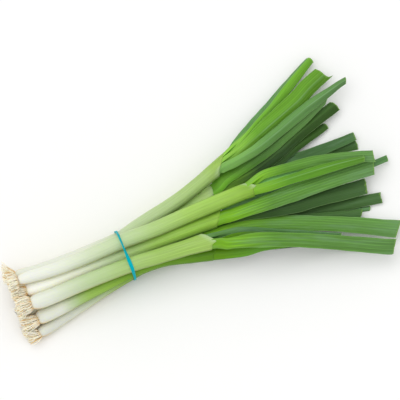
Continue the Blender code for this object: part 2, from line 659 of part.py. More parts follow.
def centre_on_origin(parent, collection):
    """Move the bunch so that the origin is under the middle of its bounding box."""
    bpy.context.view_layer.update()
    corners = np.array([obj.matrix_world @ v.co for obj in collection.objects if obj.type == "MESH"
                        for v in obj.data.vertices])
    low, high = corners.min(axis=0), corners.max(axis=0)
    parent.location = (-(low[0] + high[0]) / 2, -(low[1] + high[1]) / 2, -low[2])
    bpy.context.view_layer.update()


def main():
    clear_scene()
    collection = bpy.data.collections.new(COLLECTION)
    bpy.context.scene.collection.children.link(collection)
    parent = bpy.data.objects.new("bunch_origin", None)
    collection.objects.link(parent)
    bunch = lay_bunch()
    add_stems_and_leaves(bunch, collection, parent)
    root_material = make_material("roots", ROOT_COLOUR, 0.8)
    for number, plant in enumerate(bunch, start=1):
        add_roots(plant, number, root_material, collection, parent)
    add_band(bunch, collection, parent)
    centre_on_origin(parent, collection)


main()
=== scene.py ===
"""The looks of a bunch of eight young leeks, tied with one elastic band and lying on its side.

The routes, widths and radii are those that the frame's solids were laid with, in millimetres, and the
heights are read from the frame. Meshes are made in metres.
"""

import math
import random
from dataclasses import dataclass

import bpy
import numpy as np
from mathutils import Matrix, Vector


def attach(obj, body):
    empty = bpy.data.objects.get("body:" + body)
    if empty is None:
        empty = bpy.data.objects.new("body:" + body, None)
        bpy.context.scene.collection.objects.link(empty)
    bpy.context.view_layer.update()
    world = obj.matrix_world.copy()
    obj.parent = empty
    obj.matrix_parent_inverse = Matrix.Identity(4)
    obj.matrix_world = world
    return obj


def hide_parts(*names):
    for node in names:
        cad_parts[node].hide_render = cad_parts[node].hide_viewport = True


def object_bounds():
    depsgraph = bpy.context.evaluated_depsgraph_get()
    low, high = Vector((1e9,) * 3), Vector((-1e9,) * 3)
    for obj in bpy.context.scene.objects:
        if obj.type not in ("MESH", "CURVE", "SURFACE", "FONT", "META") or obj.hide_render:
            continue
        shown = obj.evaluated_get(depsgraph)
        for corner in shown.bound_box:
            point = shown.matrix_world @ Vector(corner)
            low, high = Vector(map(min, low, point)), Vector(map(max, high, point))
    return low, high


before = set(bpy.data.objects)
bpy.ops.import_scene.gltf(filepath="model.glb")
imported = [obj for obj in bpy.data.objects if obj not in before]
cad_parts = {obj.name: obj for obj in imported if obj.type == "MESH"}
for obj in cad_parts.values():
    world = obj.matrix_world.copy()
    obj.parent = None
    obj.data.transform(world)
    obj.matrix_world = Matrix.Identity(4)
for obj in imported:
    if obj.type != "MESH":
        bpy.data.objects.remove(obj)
CAD_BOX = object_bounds()

METRES = 0.001

# How the frame's solids were laid
CLEARANCE = 0.3        # air between two solids
SKIN = 0.35            # how far a solid's laid shape reached past its real one
ROUTE_SAMPLES = 30     # points of a smooth route between two given ones
HEADING_REACH = 2.0    # a route's heading is read from this far behind to this far ahead
STEM_RINGS = 10        # rings of a stem past its rounded base
BASE_ROUND = 6.0       # length of the rounding at the root end
FIRST_RING = 1.2       # the ring next to the very base is this far from it
BASE_WAIST = 0.62      # radius of the very base, as a share of the stem's
FLARE_LENGTH = 25.0    # a flared stem widens over this length towards its rim
SLANT_LENGTH = 25.0    # length over which the rings turn to the rim's slant
CORNER_ANGLE = 75.0    # a corner of the stems' solid rings, where their height is read
CORNER_REACH = 0.1     # a corner of a solid lies at a place if it is this near
LEAF_RINGS = 12
LEAF_CROWDING = 1.25   # over 1: the rings of a leaf are closer near the rim
LEAF_MIDDLE = 2.0      # thickness of the solid leaves along the rib near the rim
LEAF_TIP = 1.5         # at the tip
LEAF_EDGE = 0.9        # and at the edges
RIB_SHAPE = 1.5        # over 1: a leaf thins mostly near its edges
KEEL = 1.5             # over 1: a leaf's arch falls mostly near its edges
BASE_INSET = 0.2       # how far a leaf's base stays inside the round of its stem
WRAP_LENGTH = 55.0     # over this length a leaf opens from its part of the round stem to a flat blade
BAND_WIDTH = 4.0
BAND_TURNS = ((26, 25, 0), (20, 44, 50), (3, 48, 70), (-16, 42, 0))    # (left, up, degrees on edge)
TURN_SMOOTHING = 192   # how often those turns are averaged with the ones beside them

# What a plain leaf or stem has
NO_WIDER = ((0, 0, 0), (1, 0, 0))
UNFOLDED = (0.0, 0.0, 0.0)
PLAIN_TIP = ((-1, -0.3), (0, 0.3), (1, -0.3))
CUT_RAGGED = 0.25
RIBS = (1.6, 0.06, 0.07)


@dataclass
class Leaf:
    """One leaf. Places across it run from -1 at its right edge to 1 at its left one."""
    kind: str                   # its colours
    shade: float                # how light they are: partly the leaf's own tone, partly painted light and shade for how lit it lies
    arch: float                 # how far its middle stands over its edges
    cut: float                  # how much further ahead it is cut for each step to the left
    widths: tuple               # evenly spaced from the rim to the cut
    route: tuple                # its middle line past the rim
    side: tuple = (-1, 1)       # right and left end of its base, in radii of its stem
    wider: tuple = NO_WIDER     # (share of its length, how much wider the render is right, and left)
    tip: tuple = PLAIN_TIP      # its cut's course: (place across, ahead)
    ragged: float = CUT_RAGGED  # unevenness of the cut
    fold: tuple = UNFOLDED      # where it is folded, and how far its right and left edges hang below that
    painted_fold_shading: tuple = None         # painted light and shade: how light it is made right and left of the fold
    turned: bool = False        # its outer, waxy side shows left of the fold
    ribs: tuple = RIBS          # pitch, height and lightness
    plain: float = None         # how green its base is where its colour goes on from the stem's
    seed: float = 0.0           # of its uneven lines


@dataclass
class Plant:
    """One plant. Places along its stem are shares of the stem's length."""
    name: str
    radius: float               # of its stem
    slant: float                # how much further ahead its rim is for each step to the left
    bright: float               # painted light and shade: how much lighter or darker its stem is made for how lit it lies
    tuft: tuple                 # where its roots are trimmed, and how far left they lean
    stem: tuple                 # the stem's route over the surface, roots first
    green: tuple                # (place along, how green the stem is)
    leaves: list                # the lowest first
    bulb: tuple = (0.1, 28)     # how much thicker it is at its base, and the length over which that fades
    flare: float = 0.0          # how much it widens towards its rim
    longer: float = 0.0         # how much longer its root end is in the render
    wider: tuple = NO_WIDER     # (place along, how much wider the render is right, and left)
    rim: tuple = None           # the rim's course where it isn't plain: (place across, ahead)
    membrane: tuple = None      # pale part of the rim: its right and left end, length and strength


# The lowest first, as they were measured in the picture
PLANTS = [
    Plant("leek_1", radius=6.2, slant=0.45, bright=1.15, tuft=(-121.5, 0.0),
          stem=((-111, -12), (-60, -7), (0, -5.4), (50, 3), (93, -4)),
          green=((0, 0.05), (0.2, 0.2), (0.4, 0.6), (0.65, 1.2), (1, 1.5)), leaves=[
        Leaf("waxy", shade=1.0, arch=1.4, cut=0.2, widths=(9, 6, 5),
             route=((135, -17), (177, -29), (210, -37.5), (246, -47))),
        Leaf("deep", shade=0.92, arch=2.2, cut=-0.2, widths=(10, 11, 10),
             route=((138, -18), (185, -28), (220, -34), (260, -42)), wider=((0.6, 0, 0), (0.9, 0.3, 1.0)),
             tip=((-1, -0.5), (0.8, 0.3), (1, 2.5))),
    ]),
    Plant("leek_2", radius=6.1, slant=0.45, bright=0.9, tuft=(-121.8, 5.5), longer=3.0,
          stem=((-106, -37), (-79, -31.5), (-38, -23.7), (0, -18), (50, -11.5), (80, -12)),
          green=((0, 0.05), (0.13, 0.07), (0.22, 0.15), (0.4, 0.42), (0.6, 1.1), (1, 1.5)), leaves=[
        Leaf("deep", shade=1.05, arch=1.6, cut=0.3, widths=(10, 9, 8),
             route=((127, -19), (176, -31), (214, -43), (236, -49))),
        Leaf("bloom", shade=0.95, arch=2.2, cut=0.25, widths=(12, 15, 15.5), ribs=(2.6, 0.08, 0.12),
             route=((113, -15), (134, -20), (173, -35), (218, -56), (262, -78)),
             wider=((0, 0, 0), (0.1, 4.5, 0), (0.3, 4.0, 0), (0.5, 0.5, 0), (0.7, 0, 0.3),
                    (0.85, 0.4, 1.0), (1, 1.1, 1.5)), tip=((-1, 1.2), (1, 1.2))),
    ]),
    Plant("leek_3", radius=6.6, slant=0.4, bright=1.45, tuft=(-118.0, 0.0), membrane=(-1, 1, 9.0, 0.6),
          stem=((-108.5, 9.5), (-60, 8.5), (0, 8.3), (55, 19), (106, 26.5)),
          green=((0, 0), (0.5, 0.45), (0.8, 0.6), (1, 0.6)),
          wider=((0.55, 0, 0), (0.8, 0, 2.0), (1, 0, 3.8)), leaves=[
        Leaf("deep", shade=0.85, arch=1.8, cut=-0.1, widths=(10, 10, 10), side=(-1, 0.5),
             route=((150, 26), (178, 30), (201, 28), (221, 25), (259, 18)),
             wider=((0, 0, 0), (0.5, 0, 1.0), (1, 0, 0))),
        Leaf("waxy", shade=0.68, arch=-1.4, cut=0.2, widths=(10, 9, 8),
             route=((150, 27), (189, 27), (206, 25), (241, 25), (259, 26)),
             wider=((0, 0, 0), (0.45, 0, 2.0), (0.6, 0, 3.4), (0.8, 0, 2.2), (1, 0, 0.6)),
             tip=((-1, 1.5), (1, 0.5))),
        Leaf("olive", shade=0.95, arch=1.6, cut=-0.3, widths=(10, 9, 7),
             route=((140, 26), (161, 28), (188, 34), (237, 47)),
             wider=((0, 0, 0), (0.5, 0, 0.4), (0.8, 0, 1.6), (0.93, 0, 1.4), (1, 0, 0.2)),
             tip=((-1, 0), (0, 1.5), (1, 1.5))),
        Leaf("olive", shade=0.9, arch=2.4, cut=-0.2, widths=(12, 12, 12.5), painted_fold_shading=(0.8, 1.15),
             route=((150, 30), (181, 38), (217, 51), (253, 62)),
             tip=((-1, 0), (-0.4, 1.3), (0.5, 1.5), (1, 0.2))),
        Leaf("dusk", shade=1.05, arch=2.4, cut=0.2, widths=(11, 12, 12.5, 12, 7), painted_fold_shading=(1.1, 0.85),
             route=((123, 33), (136, 36), (161, 42), (183, 48), (209, 57), (234, 66), (248.5, 71)),
             wider=((0, 0, 3.6), (0.03, 0, 5.2), (0.1, 0, 4.2), (0.25, 0, 1.5), (0.6, 0, 0)),
             tip=((-1, -5), (-0.4, -1), (1, 1))),
    ]),
    Plant("leek_4", radius=7.4, flare=0.13, slant=1.1, bright=0.95, tuft=(-121.5, 4.8),
          membrane=(-1, -0.1, 10.0, 0.7),
          stem=((-110, 22), (-96, 19), (-70, 17), (-35, 16.5), (0, 17.5), (25, 22.5), (72, 31.5),
                (112, 44), (126, 48.5)),
          green=((0, 0.1), (0.31, 0.14), (0.51, 0.4), (0.71, 0.53), (0.9, 0.62), (1, 0.85)),
          rim=((-1, -11), (-0.8, -10), (-0.4, -7.8), (-0.08, -3.4), (1, 8.5)), leaves=[
        Leaf("waxy", shade=1.45, arch=-0.8, cut=0.2, widths=(5.5, 5, 4), side=(0.2, 1),
             route=((156, 70), (183, 84.5), (201, 94), (228, 108)),
             wider=((0, 0, 0), (0.15, 0, 0.7), (0.5, 0, 0))),
        Leaf("inner", shade=1.03, arch=2.2, cut=-0.3, widths=(7, 7.5, 10, 11.5, 8.5), side=(-0.2, 0.9),
             turned=True, fold=(0.62, 0.3, 2.0), painted_fold_shading=(1.0, 0.85),
             route=((155, 64.5), (174.5, 74.5), (193.5, 84), (212.5, 95), (232.5, 106.5), (248, 115)),
             tip=((-1, -0.3), (0, 1.6), (0.6, 1.4), (1, 0))),
        Leaf("inner", shade=0.82, arch=2.2, cut=-0.1, widths=(9, 12, 16.5, 18, 17.5), side=(-0.5, 0.5),
             ribs=(2.1, 0.12, 0.13), fold=(-0.25, 1.6, 0.6), painted_fold_shading=(0.86, 1.0),
             route=((150, 55.5), (182, 67.5), (217, 80), (236, 89.5), (252.5, 96)),
             tip=((-1, 7.5), (-0.8, 3.2), (-0.6, 1.6), (0, 1.8), (0.6, 1.6), (1, 0.4))),
        Leaf("frosted", shade=1.0, arch=2.6, cut=0.5, widths=(8.5, 10, 11, 10, 6), side=(-1, 0),
             fold=(-0.1, 1.4, 0.2), painted_fold_shading=(0.84, 0.92),
             route=((140, 45.5), (163, 49), (188, 56.5), (221, 67.5), (243, 73.5), (262, 78), (272.5, 80)),
             wider=((0, 0.8, 0), (0.03, 2.0, 0), (0.12, 2.0, 0), (0.3, 0.5, 0), (0.7, 1.0, 0),
                    (1, 0.3, 0))),
    ]),
    Plant("leek_5", radius=6.0, slant=0.45, bright=0.95, tuft=(-122.5, 1.6),
          stem=((-105, -25.5), (-76, -24), (-37, -21.5), (0, -19), (30, -20), (59, -26.5), (83, -33)),
          green=((0, 0.05), (0.13, 0.1), (0.25, 0.6), (0.31, 0.8), (0.51, 1.25), (0.75, 1.45), (1, 1.6)),
          wider=((0, 1.0, 2.2), (0.12, 0.8, 1.2), (0.3, 0, 0), (0.75, 0, 0), (0.88, 0.9, 0),
                 (1, 0.9, 1.8)), leaves=[
        Leaf("deep", shade=0.9, arch=1.6, cut=0.2, widths=(10, 9, 8),
             route=((118, -41), (166, -54), (213, -73), (244, -89)),
             wider=((0, 0, 0), (0.08, 0, 5.0), (0.4, 0, 5.0), (0.7, 0, 0))),
        Leaf("fresh", shade=1.0, arch=2.2, cut=-0.3, widths=(12, 11, 8), plain=1.55,
             ribs=(2.6, 0.08, 0.06), route=((111, -41.5), (132, -44.5), (167, -53), (205, -65)),
             wider=((0, 0.8, 1.5), (0.4, 0, 1.5), (0.7, 0, 0))),
    ]),
    Plant("leek_6", radius=6.8, slant=0.7, bright=1.18, tuft=(-119.8, 1.0),
          stem=((-105, 5), (-80, 2.5), (-47, 2), (0, 0.5), (60, -1.5), (100, -3.5)),
          green=((0, 0), (0.11, 0.03), (0.31, 0.2), (0.51, 0.5), (0.71, 0.82), (1, 1.1)),
          wider=((0, 1.2, 1.5), (0.12, 0.8, 1.0), (0.3, 0, 0), (0.5, 0, 0), (0.75, 0, 1.4),
                 (1, 0, 2.6)), leaves=[
        Leaf("deep", shade=0.8, arch=2.0, cut=0.2, widths=(13, 15, 15), ragged=1.1,
             route=((127, -8), (173, -18), (202, -21), (249, -26)), wider=((0.7, 0, 0), (1, 0, 1.0)),
             tip=((-1, 1.5), (1, 0.8))),
        Leaf("waxy", shade=1.0, arch=-0.9, cut=0.2, widths=(7, 7, 5.5), side=(0, 1),
             route=((126, 2.5), (149, 1), (207, -6.5), (250, -8), (281, -8)),
             wider=((0, 0, 1.2), (0.02, 0, 3.8), (0.15, 0, 4.0), (0.35, 0, 5.5), (0.5, 0, 4.0),
                    (0.7, 0, 0), (1, 0, 0.9)), tip=((-1, 0.3), (1, 0.9))),
        Leaf("bloom", shade=0.9, arch=2.4, cut=0.3, widths=(12.5, 14, 17, 14.5, 14),
             ribs=(2.7, 0.15, 0.17),
             route=((113, -5), (132.5, -6), (154, -7), (175, -7.5), (222, -9.5), (263.5, -12.5)),
             wider=((0, 0, 1.0), (0.3, 0, 0.5), (0.5, 0, 0.8), (1, 0.2, 1.3)),
             tip=((-1, 1.0), (0.6, 0.3), (1, 0.8))),
    ]),
    Plant("leek_7", radius=7.7, flare=0.13, slant=-0.4, bright=0.97, tuft=(-120.6, -1.2),
          membrane=(-0.45, 1, 8.0, 0.75),
          stem=((-106, -10.5), (-87, -12), (-52, -12), (0, -13.5), (31, -16.5), (83, -20.5)),
          green=((0, 0.05), (0.11, 0.15), (0.31, 0.42), (0.51, 0.58), (0.71, 0.71), (1, 0.74)),
          wider=((0.75, 0, 0), (1, 1.8, 0)),
          rim=((-1, -1.1), (-0.6, 0), (-0.45, 5.5), (-0.3, 4.5), (0.2, 0.5), (1, -6.6)), leaves=[
        Leaf("waxy", shade=0.84, arch=1.0, cut=0.2, widths=(5, 4.5, 3.5), side=(-0.1, 0.6),
             route=((109, -20.5), (124, -25), (142.5, -33.5), (170, -46.5), (207, -63.5))),
        Leaf("bloom", shade=0.79, arch=2.4, cut=0.25, widths=(8, 14.5, 14.5, 15.5, 16), side=(-1, 0),
             ribs=(3.4, 0.1, 0.17),
             route=((98, -31), (111.5, -35.5), (130.5, -41.5), (152, -49.5), (184, -63.5), (235, -88),
                    (251, -95)),
             wider=((0, 2.0, -1.0), (0.03, 2.8, -1.6), (0.06, 1.8, -0.8), (0.1, 0.8, 0.2), (0.2, 0, 1.6),
                    (0.3, 0, 1.2), (0.45, 0, 0)), tip=((-1, 1.8), (-0.7, 0.8), (1, 0.2))),
    ]),
    Plant("leek_8", radius=8.2, bulb=(-0.3, 70), slant=-0.6, bright=1.0, tuft=(-119.2, 0.5),
          membrane=(-0.05, 1, 8.0, 0.8),
          stem=((-110, 15), (-76, 11.5), (-43, 10.5), (0, 11.5), (36, 10.5), (77, 11.5), (123, 12),
                (139, 11.5)),
          green=((0, 0), (0.11, 0.05), (0.31, 0.31), (0.51, 0.5), (0.71, 0.72), (0.95, 1.0), (1, 1.15)),
          rim=((-1, 2.7), (-0.65, 3.2), (-0.1, 4.4), (0.04, 7.5), (0.5, 3.0), (1, -3.7)), leaves=[
        Leaf("waxy", shade=2.3, arch=0.9, cut=0.2, widths=(6, 5, 4), side=(-0.3, 0.3),
             route=((154, 13.5), (173, 12.5), (193.5, 10), (219, 6), (240, 2)),
             wider=((0, 0, 0), (0.3, 0.5, 0.5), (1, 0.8, 0.8))),
        Leaf("bloom", shade=0.92, arch=2.0, cut=-0.3, widths=(9, 9.5, 8.5), side=(-0.1, 1),
             ribs=(2.4, 0.08, 0.16),
             route=((156.5, 20), (175, 19), (196, 16.5), (216, 13.5), (246, 6), (267.5, -1.5)),
             wider=((0, 0, 0), (0.3, 0.6, 0), (0.9, 2.4, 0), (1, 3.4, 0)),
             tip=((-1, -0.2), (0.5, 0.5), (1, 1.6))),
        Leaf("fresh", shade=0.95, arch=2.4, cut=0.2, widths=(9.6, 9, 9.3, 8.4, 5), side=(-1, 0.2),
             ribs=(2.2, 0.05, 0.12), fold=(0.1, 1.0, 0.6), painted_fold_shading=(1.0, 0.92),
             route=((159, 6.5), (175, 5.5), (196, 4), (227.5, 1.5), (257, -2)),
             wider=((0, 0, 0), (0.25, 0.6, 0.3), (0.6, 1.1, 0.5), (1, 1.4, 0.3)),
             tip=((-1, 0.5), (0, 1.0), (1, 0))),
    ]),
]

# Finer than the frame
STEM_STATIONS = 110
STEM_CROWDING = 1.15   # over 1: the stations are closer near the roots
STEM_SIDES = 64
ROOT_END = (13.0, 0.2)    # a shank narrows towards its roots over this length, by this share
RIM_FROM = 0.75        # share of a shank past which its rings take up the rim's course
RIM_UNEVEN = 0.4       # how far the rim is off its course
SHEATH = 0.4           # thickness of the sheath at its open rim
CUP_DEPTH = 14.0       # how deep the sheath is open behind its rim
CUP_RINGS = 6
STEM_UNEVEN = 0.018    # how far a shank is off its round, as a share of its radius
EVEN_LENGTH = (16.0, 40.0)    # round from the first of these distances to the rim, uneven past the second
LEAF_STATIONS = 110
LEAF_STATION_CROWDING = 1.1    # over 1: they are closer near the rim
BACK_STATIONS = 8      # stations of a leaf inside its sheath
LEAF_LINES = 41        # lines along a leaf
LINE_CROWDING = 0.86   # under 1: less crowded near the edges than on a half circle
LEAF_BACK = 15.0       # how far a leaf starts inside its sheath
FLUSH = 0.05           # how much lower than the sheath its leaves lie at its rim
LEAF_INSET = 0.3       # and how much lower inside it
INSET_LENGTH = 3.0     # past this length
BARE_EDGE = 0.08       # width of the change from a bare part to a covered one, in radii
HUG_LENGTH = 24.0      # how far past the rim the leaves keep to the round of the stem
THIN_LENGTH = 26.0     # length over which a leaf thins from its part of the stem to a blade
BLADE_RIB = 1.5        # thickness of the blades along the rib
BLADE_EDGE = 0.45      # and at the edge
EDGE_ROUND = 0.06      # the blade's rounded margin, as a share of its half width
MARGIN_THIN = 0.8      # how much of its thickness the margin loses
RIM_OPENING = 0.6      # a leaf widens past its rim by at most this share of the distance
WAVER = 0.35           # how far a blade's edges waver
SAG = 0.4              # how far its edges hang or rise unevenly
TIP_ZONE = 12.0        # length over which a cut's course is taken up
SEED_SHIFT = 2.4       # how much further on an uneven line starts for each step of its seed
WAVES = ((6.2, 1.0, 1.0), (11.3, 0.6, 1.7), (23.1, 0.4, 0.9))    # an uneven line's (rate, height, delay)

# Colours as the eye sees them: red, green, blue out of 255
GREENEST = 1.6         # how green a shank is at the last of its colours
SHANK_STOPS = ((0.0, (234, 236, 226)), (0.15, (227, 232, 216)), (0.3, (208, 220, 188)),
               (0.43, (191, 211, 163)), (0.57, (174, 203, 129)), (0.75, (160, 197, 94)),
               (1.0, (147, 189, 73)), (1.25, (125, 170, 46)), (GREENEST, (90, 140, 12)))
LEAF_KINDS = {         # at the rim, a third of the way out, and at the cut
    "fresh": ((130, 188, 46), (98, 156, 44), (90, 142, 40)),
    "inner": ((152, 208, 80), (110, 170, 44), (103, 158, 44)),
    "bloom": ((130, 190, 40), (98, 150, 54), (98, 144, 74)),
    "frosted": ((130, 184, 92), (106, 156, 80), (98, 142, 80)),
    "waxy": ((98, 146, 74), (86, 130, 72), (88, 134, 76)),
    # dusk, deep and olive are darker partly as painted shade, for leaves that lie in the shade of others
    "dusk": ((116, 178, 52), (82, 126, 52), (88, 126, 70)),
    "deep": ((70, 116, 26), (60, 94, 42), (74, 110, 58)),
    "olive": ((110, 160, 36), (54, 84, 36), (62, 98, 38)),
}
GREEN_PLACES = (0.0, 0.08, 0.34, 1.0)    # start and end of a leaf's first colour, its second and its last
MEMBRANE = (186, 212, 160)
# painted shade: the yellow-olive of the grooves between the white parts of the shanks
SHANK_GROOVE_SHADE = (214, 206, 132)
# painted shade: the dark olive of the shanks' lower right sides
SHANK_PAINTED_SHADE = (96, 136, 34)
WAX = (134, 168, 138)
WAXED_KINDS = ("bloom", "waxy")
# a painted highlight along a blade's edges
BLADE_EDGE_HIGHLIGHT = (150, 190, 120)
# a painted highlight along a folded blade's crease
PAINTED_RIDGE_HIGHLIGHT = (150, 192, 142)
CUT_EDGE = (142, 188, 84)
ROOT_CREAM = (254, 249, 228)
ROOT_TAN = (224, 176, 94)
BAND_TEAL = (0, 178, 190)
FLOOR_WHITE = (248, 248, 247)


def linear(colour):
    """A colour out of 255 as the linear values that shaders take, not see-through."""
    shares = [value / 255 for value in colour]
    return (*(s / 12.92 if s <= 0.04045 else ((s + 0.055) / 1.055) ** 2.4 for s in shares), 1)


def grey(value):
    """A grey as shaders take it, not see-through."""
    return (value, value, value, 1)


def full_turn(count):
    """Evenly spaced angles round a circle."""
    return np.linspace(0, 2 * np.pi, count, endpoint=False)


def distance_along(points):
    """How far along a line each of its points is."""
    return np.concatenate([[0], np.cumsum(np.hypot(*np.diff(points, axis=0).T))])


def smooth_route(points):
    """A smooth curve through the points, as closely spaced points with their distance along it."""
    points = np.array(points, float)
    first = 2 * points[0] - points[1]
    last = 2 * points[-1] - points[-2]
    padded = np.vstack([first, points, last])
    curve = []
    for k in range(len(points) - 1):
        a, b, c, d = padded[k:k + 4]
        t = np.linspace(0, 1, ROUTE_SAMPLES, endpoint=False)[:, None]
        curve.append(0.5 * (2 * b + (c - a) * t + (2 * a - 5 * b + 4 * c - d) * t ** 2
                            + (3 * b - a - 3 * c + d) * t ** 3))
    curve.append(points[-1:])
    curve = np.vstack(curve)
    return curve, distance_along(curve)


def on_route(route, distances):
    """Points and headings at these distances; past either end the route runs straight."""
    curve, along = route
    inside = np.clip(distances, 0, along[-1])
    ahead = np.clip(inside + HEADING_REACH, 0, along[-1])
    behind = np.clip(inside - HEADING_REACH, 0, along[-1])
    points = np.stack([np.interp(inside, along, curve[:, axis]) for axis in (0, 1)], axis=-1)
    heading = np.stack([np.interp(ahead, along, curve[:, axis]) - np.interp(behind, along, curve[:, axis])
                        for axis in (0, 1)], axis=-1)
    heading /= np.linalg.norm(heading, axis=-1, keepdims=True)
    points += heading * (distances - inside)[..., None]
    return points, heading


def beside(centres, heading, across, slant):
    """Points to the left of a route by these distances, and ahead by a share of them."""
    left = np.stack([-heading[..., 1], heading[..., 0]], axis=-1)
    return centres + left * across[..., None] + heading * (across * slant)[..., None]


def smooth_between(places, values, wanted):
    """Values on a smooth curve through the given ones."""
    slope = np.gradient(values, places)
    k = np.clip(np.searchsorted(places, wanted) - 1, 0, len(places) - 2)
    step = places[k + 1] - places[k]
    t = np.clip((wanted - places[k]) / step, 0, 1)
    start = (1 + 2 * t) * (1 - t) ** 2 * values[k] + t * (1 - t) ** 2 * step * slope[k]
    end = t ** 2 * (3 - 2 * t) * values[k + 1] + t ** 2 * (t - 1) * step * slope[k + 1]
    return start + end


def ease(share):
    """A smooth step from 0 to 1."""
    share = np.clip(share, 0, 1)
    return share * share * (3 - 2 * share)


def waver(places, pitch, seed):
    """A smooth uneven line between about -1 and 1, the same each time for the same seed."""
    shift = SEED_SHIFT * seed
    return sum(height * np.sin(places / pitch * rate + delay * shift) for rate, height, delay in WAVES) / 2


def widening(wider, along, side):
    """How much wider a piece is at these shares of its length, on this side of its middle."""
    places, right, left = np.array(wider).T
    return np.where(side > 0, np.interp(along, places, left), np.interp(along, places, right))


def stacked(*values):
    """The values of each corner side by side."""
    return np.stack(np.broadcast_arrays(*values), axis=-1)


def stem_radius(plant, distances, length):
    """A stem's radius along its length: a rounded base, a bulb or a waist past it, a flare at the rim."""
    swell, swell_length = plant.bulb
    thicker = swell * np.exp(-np.maximum(distances, 0) / swell_length)
    flared = plant.flare * np.clip((distances - length) / FLARE_LENGTH + 1, 0, 1)
    inward = np.clip(1 - distances / BASE_ROUND, 0, 1)
    rounding = BASE_WAIST + (1 - BASE_WAIST) * np.sqrt(1 - inward ** 2)
    return plant.radius * (1 + thicker + flared) * np.where(distances < 0, 1.0, rounding)


def stem_slant(plant, distances, length):
    """How much further ahead a stem's rings are for each step to the left, the full slant at its rim."""
    return plant.slant * np.clip((distances - length) / SLANT_LENGTH + 1, 0, 1)


def frame_stem_rings(plant):
    """Where the frame's solid of a stem has its rings."""
    route = smooth_route(plant.stem)
    length = route[1][-1]
    run = np.linspace(BASE_ROUND, length, STEM_RINGS + 1)[1:]
    distances = np.concatenate([[0, FIRST_RING, BASE_ROUND], run])
    radii = stem_radius(plant, distances, length)
    centres, heading = on_route(route, distances)
    return route, distances, radii, stem_slant(plant, distances, length), centres, heading


def node_corners(node):
    """The corners of a node of the frame, in millimetres."""
    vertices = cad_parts[node].data.vertices
    corners = np.empty(3 * len(vertices))
    vertices.foreach_get("co", corners)
    return corners.reshape(-1, 3) / METRES


def find_origin():
    """Where the layout's origin lies in the frame: the lowest plant's solid against its own rings."""
    plant = PLANTS[0]
    _, _, radii, slant, centres, heading = frame_stem_rings(plant)
    side = math.sin(math.radians(CORNER_ANGLE))
    edges = [beside(centres, heading, sign * side * radii, slant) for sign in (-1, 1)]
    lowest = np.vstack(edges).min(axis=0)
    return node_corners(plant.name + "_stem").min(axis=0)[:2] - lowest


def tops_at(node, places):
    """The height of a node's top at these places, each over one of its own corners."""
    corners = node_corners(node)
    tops = []
    for place in places + ORIGIN:
        near = np.hypot(*(corners[:, :2] - place).T) < CORNER_REACH
        tops.append(corners[near, 2].max())
    return np.array(tops)


def read_stem(plant):
    """A stem's route and radius, with the height of its axis as the frame has it."""
    route, distances, radii, slant, centres, heading = frame_stem_rings(plant)
    angle = math.radians(CORNER_ANGLE)
    places = beside(centres, heading, -radii * math.cos(angle), slant)
    heights = tops_at(plant.name + "_stem", places) - radii * math.sin(angle)
    return {"route": route, "length": route[1][-1], "distances": distances, "heights": heights,
            "rim_radius": radii[-1], "heading": heading[-1]}


def leaf_share(index, count, radius):
    """The lower and upper limit of one leaf's part of the round stem, from its axis."""
    edges = np.linspace(-radius, radius, count + 1)
    gap = (CLEARANCE + SKIN) / 2
    low = edges[index] + (gap if index > 0 else 0)
    high = edges[index + 1] - (gap if index < count - 1 else 0)
    return low, high


def leaf_base(side, radius, low, high):
    """How far left of the stem's axis the middle of a leaf's base is, and half the base's width."""
    nearest = min(abs(low), abs(high)) if low * high > 0 else 0.0
    reach = math.sqrt(radius ** 2 - nearest ** 2) - BASE_INSET
    right, left = [max(-reach, min(reach, share * radius)) for share in side]
    return (right + left) / 2, (left - right) / 2


def leaf_route(plant, stem, leaf, middle):
    """A leaf's route, its distance at the rim and its start there."""
    heading = stem["heading"]
    shift = middle * (np.array([-heading[1], heading[0]]) + heading * plant.slant)
    before, end = np.array(plant.stem[-2:]) + shift
    curve, along = smooth_route([before, end, *leaf.route])
    at_rim = np.argmin(np.hypot(*(curve - end).T))
    return (curve, along), along[at_rim] + CLEARANCE, end


def part_of_stem(base, radius, from_axis):
    """The underside and top of a leaf's part of the round stem, this far left of the stem's axis."""
    round_side = np.sqrt(np.maximum(radius ** 2 - from_axis ** 2, 0))
    under = np.maximum(base["low"], -round_side)
    top = np.minimum(base["high"], round_side)
    thin = np.maximum(LEAF_EDGE - (top - under), 0) / 2
    return under - thin, top + thin


def blade_top(base, leaf, out, columns):
    """The top of an open blade over the leaf's axis."""
    rib = LEAF_MIDDLE + (LEAF_TIP - LEAF_MIDDLE) * out
    solid = LEAF_EDGE + (rib - LEAF_EDGE) * (1 - np.abs(columns) ** RIB_SHAPE)
    return (base["low"] + base["high"]) / 2 + leaf.arch * (1 - np.abs(columns) ** KEEL) + solid / 2


def leaf_name(plant, index):
    """The name of a leaf's node."""
    return f"{plant.name}_leaf_{index + 1}"


